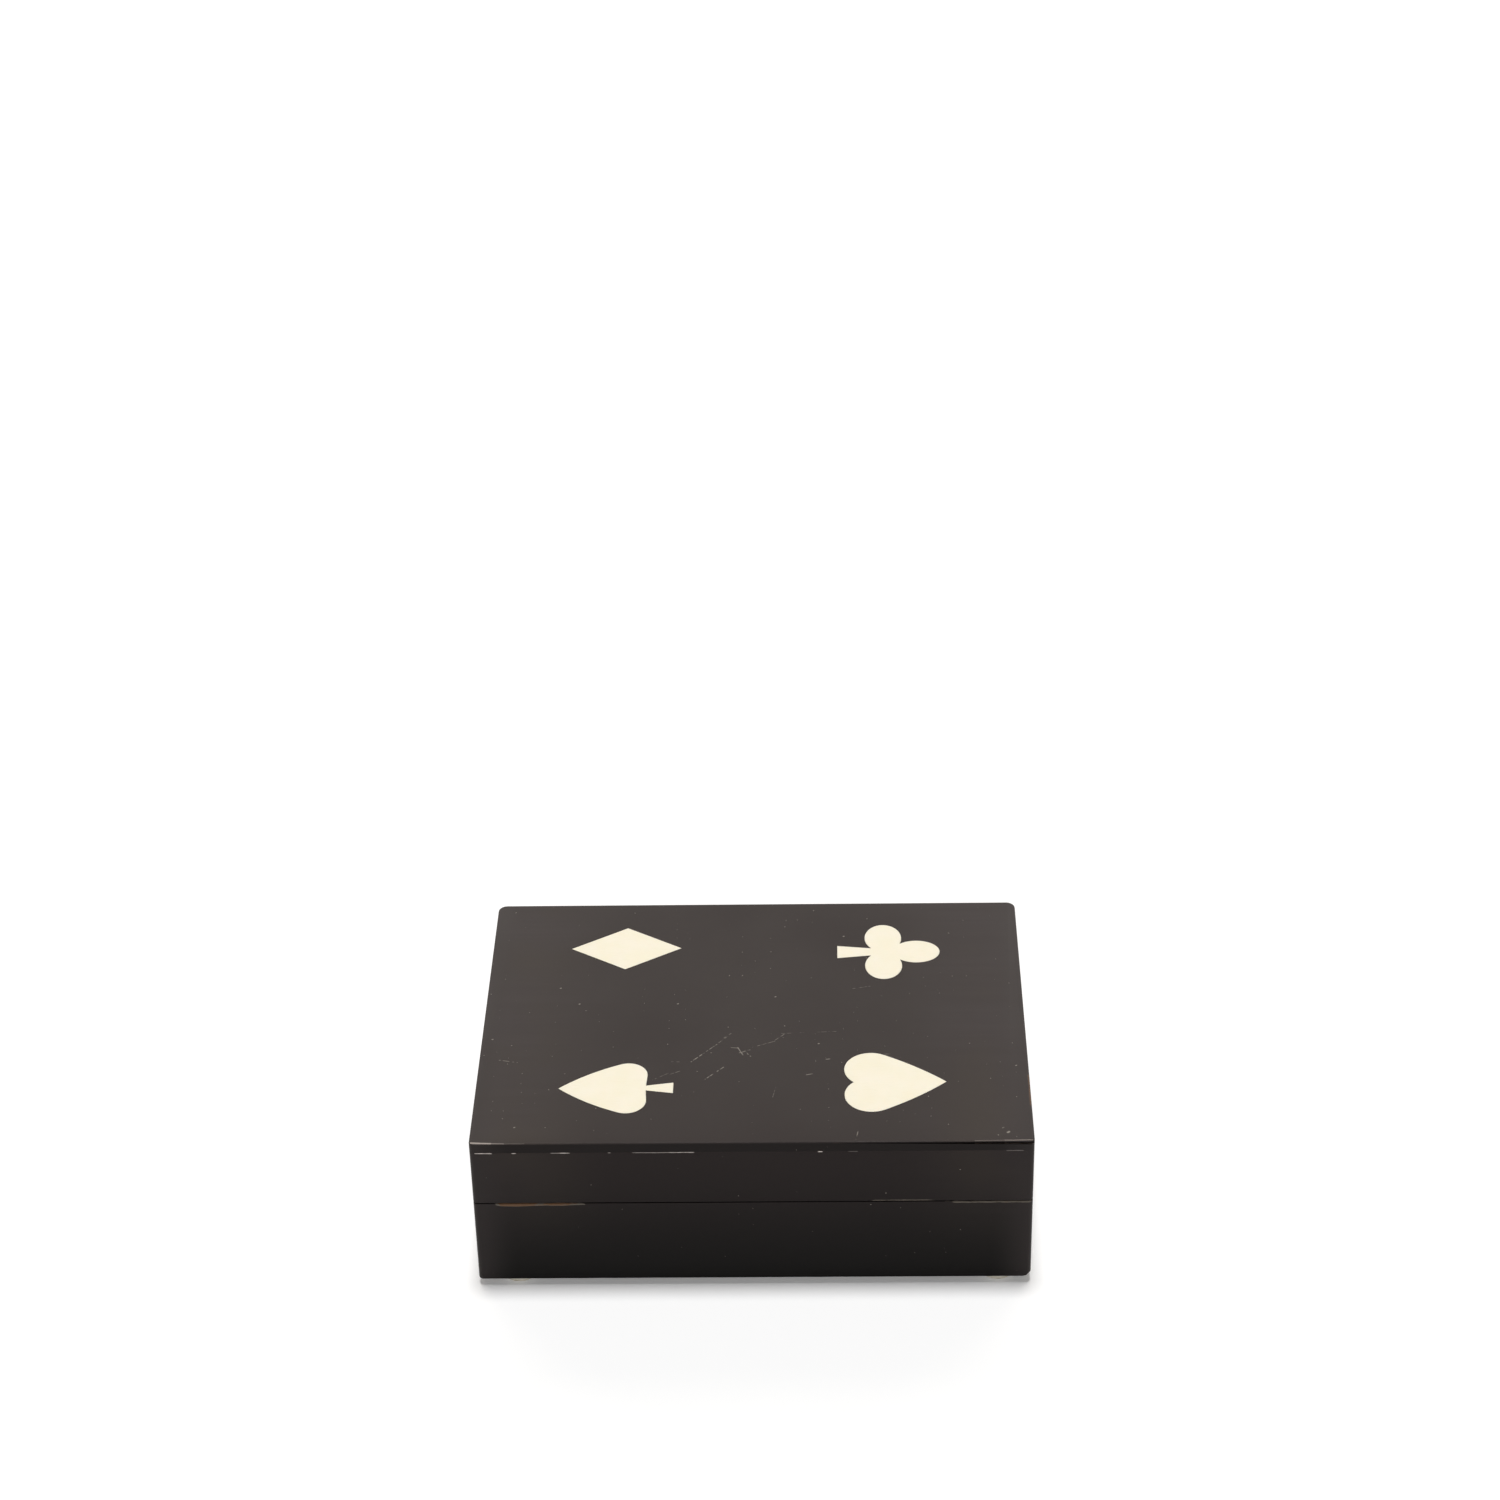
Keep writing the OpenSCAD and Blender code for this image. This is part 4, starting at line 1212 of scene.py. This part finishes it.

# %% [markdown]
# ## The four suits
#
# Each suit was sawn from a sheet of bone, glued into its pocket and scraped flush with the
# lid. The outlines in the imported model are exact, so each mesh is copied. Its loose
# triangles are joined, flat faces are made whole, and a Bevel modifier breaks the sharp
# edge by 0.06 mm. The fine gap round it and the eased edge show as a thin dark line.

# %% Inlay the suits
def eased_copy(name, node, finish, ease, corner):
    """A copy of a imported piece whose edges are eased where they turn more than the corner"""
    piece = piece_from(name, merged_copy(node), finish)
    bevel = piece.modifiers.new("eased edges", "BEVEL")
    bevel.width = ease * MM
    bevel.segments = 2
    bevel.limit_method = "ANGLE"
    bevel.angle_limit = math.radians(corner)
    bevel.harden_normals = True
    return piece


for suit in ("diamond", "club", "spade", "heart"):
    inlay = eased_copy(f"{suit}_of_bone", f"{suit}_inlay", bone, ease=0.06, corner=40)
    take_place(inlay, "lid", "bone_inlay", f"{suit}_inlay")

# %% [markdown]
# ## Brass hinges
#
# Two small butt hinges carry the lid. Each has a leaf in the base rim and one in the lid
# rim, with knuckles that mesh round a pin. The leaves are copied from the model and eased
# as stamped brass is; the pins are plain rods already, and only get their finish.

# %% Fit the hinges
for side in ("left", "right"):
    for body in ("base", "lid"):
        node = f"{side}_hinge_{body}_leaf"
        leaf = eased_copy(f"{side}_{body}_leaf_of_brass", node, brass, ease=0.08, corner=50)
        take_place(leaf, body, "hinge_brass", node)
    frame["nodes"][f"{side}_hinge_pin"].material_slots[0].material = brass

# %% [markdown]
# ## Geometry Nodes: turned pieces, repeated
#
# A screw and a foot are both turned on a lathe: at each height they are round, with a
# radius that follows a rule. Geometry Nodes suit them well. A node tree starts from a
# plain cylinder with many rings, moves each point to the radius that the rule gives, and
# sets a copy at each place. One tree then serves every screw, and one every foot.
#
# The tree has named inputs for its sizes, and ends in Realize Instances and Set Material.
# Its result is turned into a plain mesh, so no modifier is left on the piece.

# %% Helpers for node trees
def start_tree(name, sizes):
    """A geometry tree with a named input for each size, and for a seed, which is whole"""
    tree = bpy.data.node_groups.new(name, "GeometryNodeTree")
    for label, value in sizes.items():
        kind = {int: "NodeSocketInt", float: "NodeSocketFloat"}[type(value)]
        tree.interface.new_socket(label, in_out="INPUT", socket_type=kind).default_value = value
    tree.interface.new_socket("Geometry", in_out="OUTPUT", socket_type="NodeSocketGeometry")
    return tree, tree.nodes.new("NodeGroupInput").outputs


def turned(tree, blank, radius):
    """Moves each point of an upright blank to the radius given for its height"""
    spot = add_node(tree, "GeometryNodeInputPosition")
    x, y, z = add_node(tree, "ShaderNodeSeparateXYZ", {0: spot}).outputs
    level_spot = add_node(tree, "ShaderNodeCombineXYZ", {"X": x, "Y": y})
    resized = add_node(tree, "ShaderNodeVectorMath", {
        0: level_spot, "Scale": radius,
    }, operation="SCALE")
    lifted = add_node(tree, "ShaderNodeCombineXYZ", {"Z": z})
    moved = add_node(tree, "ShaderNodeVectorMath", {0: resized, 1: lifted}, operation="ADD")
    return add_node(tree, "GeometryNodeSetPosition", {"Geometry": blank, "Position": moved})


def finish_tree(tree, copies, finish):
    """Makes the copies real, gives them their finish and ends the tree"""
    real = add_node(tree, "GeometryNodeRealizeInstances", {0: copies})
    painted = add_node(tree, "GeometryNodeSetMaterial", {"Geometry": real, "Material": finish})
    add_node(tree, "NodeGroupOutput", {0: painted})


def grown_piece(name, tree, **sizes):
    """Runs the tree with these sizes, and keeps the result as a plain mesh"""
    piece = bpy.data.objects.new(name, bpy.data.meshes.new(name))
    scene.collection.objects.link(piece)
    modifier = piece.modifiers.new("tree", "NODES")
    modifier.node_group = tree
    for item in tree.interface.items_tree:
        if item.in_out == "INPUT" and item.name.replace(" ", "_") in sizes:
            modifier[item.identifier] = sizes[item.name.replace(" ", "_")]
    bpy.context.view_layer.update()
    evaluated = piece.evaluated_get(bpy.context.evaluated_depsgraph_get())
    grown = bpy.data.meshes.new_from_object(evaluated)
    piece.modifiers.remove(modifier)
    piece.data = grown
    smooth_but_crisp(grown)
    print(name, "points:", len(grown.vertices))
    return piece


print("A tree can be started, turned, finished and grown")

# %% [markdown]
# The foot is a disc with a round lower edge. Below the height of that round, the radius
# shrinks along a quarter circle; above it, the radius is full. The four feet stand on a
# small grid of two by two points, a millimetre right of the middle, as in the photograph.

# %% Turn the feet
foot_tree, size = start_tree("round feet", {
    "Radius": 4.75 * MM, "Height": 2.0 * MM, "Edge round": 0.12 * MM,
    "Apart left to right": 132.0 * MM, "Apart front to back": 99.0 * MM, "Shift": 1.0 * MM,
})
blank = add_node(foot_tree, "GeometryNodeMeshCylinder", {
    "Vertices": 64, "Side Segments": 20, "Fill Segments": 1, "Radius": 1.0,
    "Depth": size["Height"],
}, fill_type="NGON")
half_height = add_node(foot_tree, "ShaderNodeMath", {0: size["Height"], 1: 2.0}, operation="DIVIDE")
lift = add_node(foot_tree, "ShaderNodeCombineXYZ", {"Z": half_height})
standing = add_node(foot_tree, "GeometryNodeTransform", {"Geometry": blank, "Translation": lift})
spot = add_node(foot_tree, "GeometryNodeInputPosition")
foot_height = add_node(foot_tree, "ShaderNodeSeparateXYZ", {0: spot}).outputs["Z"]
short = add_node(foot_tree, "ShaderNodeMath", {
    0: size["Edge round"], 1: foot_height,
}, operation="SUBTRACT")
short = add_node(foot_tree, "ShaderNodeMath", {0: short, 1: 0.0}, operation="MAXIMUM")
short_squared = add_node(foot_tree, "ShaderNodeMath", {0: short, 1: short}, operation="MULTIPLY")
round_squared = add_node(foot_tree, "ShaderNodeMath", {
    0: size["Edge round"], 1: size["Edge round"],
}, operation="MULTIPLY")
left_over = add_node(foot_tree, "ShaderNodeMath", {
    0: round_squared, 1: short_squared,
}, operation="SUBTRACT")
bulge = add_node(foot_tree, "ShaderNodeMath", {0: left_over}, operation="SQRT")
flat_radius = add_node(foot_tree, "ShaderNodeMath", {
    0: size["Radius"], 1: size["Edge round"],
}, operation="SUBTRACT")
foot_radius = add_node(foot_tree, "ShaderNodeMath", {0: flat_radius, 1: bulge}, operation="ADD")
foot = turned(foot_tree, standing, foot_radius)
corners = add_node(foot_tree, "GeometryNodeMeshGrid", {
    "Size X": size["Apart left to right"], "Size Y": size["Apart front to back"],
    "Vertices X": 2, "Vertices Y": 2,
})
feet_in_place = add_node(foot_tree, "GeometryNodeInstanceOnPoints", {
    "Points": corners, "Instance": foot,
})
aside = add_node(foot_tree, "ShaderNodeCombineXYZ", {"X": size["Shift"]})
shifted = add_node(foot_tree, "GeometryNodeTransform", {
    "Geometry": feet_in_place, "Translation": aside,
})
finish_tree(foot_tree, shifted, rubber)
feet = grown_piece("four_round_feet", foot_tree)
foot_nodes = [f"{end}_{side}_foot" for end in ("front", "back") for side in ("left", "right")]
take_place(feet, "base", "foot_rubber", *foot_nodes)

# %% [markdown]
# A countersunk screw is a cone under its flat head, then a straight shank, then a point.
# The radius at each depth is the smaller of two: that of the head's cone or the shank,
# whichever is larger, and that of the point. A slot is cut by a boolean whose box stands
# half above the head, so it is as deep as half the box.

# %% Turn one screw
screw_tree, size = start_tree("countersunk screws", {
    "Head radius": 1.3 * MM, "Shank radius": 0.7 * MM, "Length": 5.5 * MM,
    "Tip radius": 0.2 * MM, "Slot width": 0.4 * MM, "Slot depth": 0.35 * MM,
    "Screws apart": 13.0 * MM, "Hinges apart": 92.0 * MM,
    "Row at": 0.0, "Height": 0.0, "Turned over": 0.0, "Seed": 3,
})
TIP_SLOPE = 0.42  # how fast the point widens above the tip
SLOT_LENGTH = 4

blank = add_node(screw_tree, "GeometryNodeMeshCylinder", {
    "Vertices": 40, "Side Segments": 55, "Fill Segments": 1, "Radius": 1.0,
    "Depth": size["Length"],
}, fill_type="NGON")
half_down = add_node(screw_tree, "ShaderNodeMath", {0: size["Length"], 1: -2.0}, operation="DIVIDE")
sink = add_node(screw_tree, "ShaderNodeCombineXYZ", {"Z": half_down})
hanging = add_node(screw_tree, "GeometryNodeTransform", {"Geometry": blank, "Translation": sink})
spot = add_node(screw_tree, "GeometryNodeInputPosition")
screw_height = add_node(screw_tree, "ShaderNodeSeparateXYZ", {0: spot}).outputs["Z"]
cone = add_node(screw_tree, "ShaderNodeMath", {
    0: size["Head radius"], 1: screw_height,
}, operation="ADD")
upper = add_node(screw_tree, "ShaderNodeMath", {
    0: cone, 1: size["Shank radius"],
}, operation="MAXIMUM")
from_tip = add_node(screw_tree, "ShaderNodeMath", {
    0: size["Length"], 1: screw_height,
}, operation="ADD")
point = add_node(screw_tree, "ShaderNodeMath", {
    0: from_tip, 1: TIP_SLOPE, 2: size["Tip radius"],
}, operation="MULTIPLY_ADD")
screw_radius = add_node(screw_tree, "ShaderNodeMath", {0: upper, 1: point}, operation="MINIMUM")
plain_screw = turned(screw_tree, hanging, screw_radius)
cutter_height = add_node(screw_tree, "ShaderNodeMath", {
    0: size["Slot depth"], 1: 2.0,
}, operation="MULTIPLY")
slot_box = add_node(screw_tree, "ShaderNodeCombineXYZ", {
    "X": SLOT_LENGTH * MM, "Y": size["Slot width"], "Z": cutter_height,
})
slot_cutter = add_node(screw_tree, "GeometryNodeMeshCube", {"Size": slot_box})
slotted = add_node(screw_tree, "GeometryNodeMeshBoolean", {
    "Mesh 1": plain_screw, "Mesh 2": slot_cutter,
}, operation="DIFFERENCE", solver="EXACT")
print("Nodes in one screw:", len(screw_tree.nodes))

# %% [markdown]
# Two screws sit in each leaf, and the two hinges are 92 mm apart: a pair of points, copied
# to two places, gives the four holes. Each screw is turned to its own angle, as a hand
# leaves it, from a fixed seed. The lid's screws are the same row turned over.

# %% Drive the screws
ANY_ANGLE = 3.1  # a slot that is turned by pi looks as before
HINGE_TO_SCREWS = 3.525
SUNK = 0.1

places = {}
for what in ("Screws apart", "Hinges apart"):
    half = add_node(screw_tree, "ShaderNodeMath", {0: size[what], 1: -2.0}, operation="DIVIDE")
    start = add_node(screw_tree, "ShaderNodeCombineXYZ", {"X": half})
    step = add_node(screw_tree, "ShaderNodeCombineXYZ", {"X": size[what]})
    places[what] = add_node(screw_tree, "GeometryNodeMeshLine", {
        "Count": 2, "Start Location": start, "Offset": step,
    })
pairs = add_node(screw_tree, "GeometryNodeInstanceOnPoints", {
    "Points": places["Hinges apart"], "Instance": places["Screws apart"],
})
holes = add_node(screw_tree, "GeometryNodeRealizeInstances", {0: pairs})
turns = add_node(screw_tree, "FunctionNodeRandomValue", {
    "Min": (0, 0, 0), "Max": (0, 0, ANY_ANGLE), "Seed": size["Seed"],
}, data_type="FLOAT_VECTOR")
screws = add_node(screw_tree, "GeometryNodeInstanceOnPoints", {
    "Points": holes, "Instance": slotted, "Rotation": turns,
})
over = add_node(screw_tree, "ShaderNodeCombineXYZ", {"X": size["Turned over"]})
at_row = add_node(screw_tree, "ShaderNodeCombineXYZ", {"Y": size["Row at"], "Z": size["Height"]})
driven = add_node(screw_tree, "GeometryNodeTransform", {
    "Geometry": screws, "Translation": at_row, "Rotation": over,
})
finish_tree(screw_tree, driven, brass)

screw_row = (HINGE_Y - HINGE_TO_SCREWS) * MM
base_screws = grown_piece(
    "base_screws_of_brass", screw_tree, Row_at=screw_row, Height=(SEAM - SUNK) * MM,
)
lid_screws = grown_piece(
    "lid_screws_of_brass", screw_tree, Row_at=screw_row, Height=(SEAM + SUNK) * MM,
    Turned_over=math.pi, Seed=8,
)
take_place(base_screws, "base", "hinge_brass", "base_hinge_screws")
take_place(lid_screws, "lid", "hinge_brass", "lid_hinge_screws")

# %% [markdown]
# ## Felt in the wells
#
# A piece of green felt, a millimetre thick, is glued to the floor of each well so that the
# cards are easy to slide out. It is soft, so it isn't left as the model's hard slab. It is
# drawn as a sheet that lies flat, with a slightly uneven upper side, edges that droop and
# wander where the scissors went, and rounded corners. Simulating a cloth would change
# nothing here, because the whole sheet is glued down.

# %% Draw a sheet of felt
FELT_CELLS = 45, 64  # across and along a well
CUT_INSET, CUT_WANDER = 0.14, 0.12
SWELL_ROOM, BROAD_SWELL, FINE_SWELL = 0.08, 0.06, 0.03
DROOP, DROOP_REACH = 0.35, 0.7


def wander(x, y, scale, layer):
    """Smooth noise at a place, with waves as long as one over its scale"""
    return noise.noise(Vector((x * scale, y * scale, layer)))


def felt_sheet(name, node):
    """A glued sheet of felt in the space of its node"""
    low, high = (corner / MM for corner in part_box(node))
    across, along = FELT_CELLS
    points = []
    for upper in (0, 1):
        for j in range(along + 1):
            for i in range(across + 1):
                u, v = i / across, j / along
                x, y = low.x + (high.x - low.x) * u, low.y + (high.y - low.y) * v
                edge = min(x - low.x, high.x - x, y - low.y, high.y - y)
                pull = CUT_INSET + CUT_WANDER * wander(x, y, 0.15, 3.0)
                if edge < 0.01:
                    x += pull * ((u == 0) - (u == 1))
                    y += pull * ((v == 0) - (v == 1))
                swell = BROAD_SWELL * wander(x, y, 0.09, 7.0) + FINE_SWELL * wander(x, y, 0.7, 1.0)
                droop = DROOP * math.exp(-edge / DROOP_REACH)
                z = high.z - SWELL_ROOM - droop + swell if upper else low.z
                points.append((x, y, min(z, high.z)))
    width, layer = across + 1, (across + 1) * (along + 1)
    faces = []
    for j in range(along):
        for i in range(across):
            a = j * width + i
            faces.append((a, a + width, a + width + 1, a + 1))
            faces.append((a + layer, a + layer + 1, a + layer + width + 1, a + layer + width))
    rim = list(range(across)) + [j * width + across for j in range(along)]
    rim += [along * width + i for i in range(across, 0, -1)]
    rim += [j * width for j in range(along, 0, -1)]
    faces += [(a, b, b + layer, a + layer) for a, b in zip(rim, rim[1:] + rim[:1])]
    return solid_piece(name, points, faces, felt)


print("A sheet of felt has", FELT_CELLS[0] * FELT_CELLS[1], "cells on each side")

# %% Lay the felt
for side in ("left", "right"):
    sheet = felt_sheet(f"{side}_well_sheet_of_felt", f"{side}_well_felt")
    take_place(sheet, "base", "green_felt", f"{side}_well_felt")
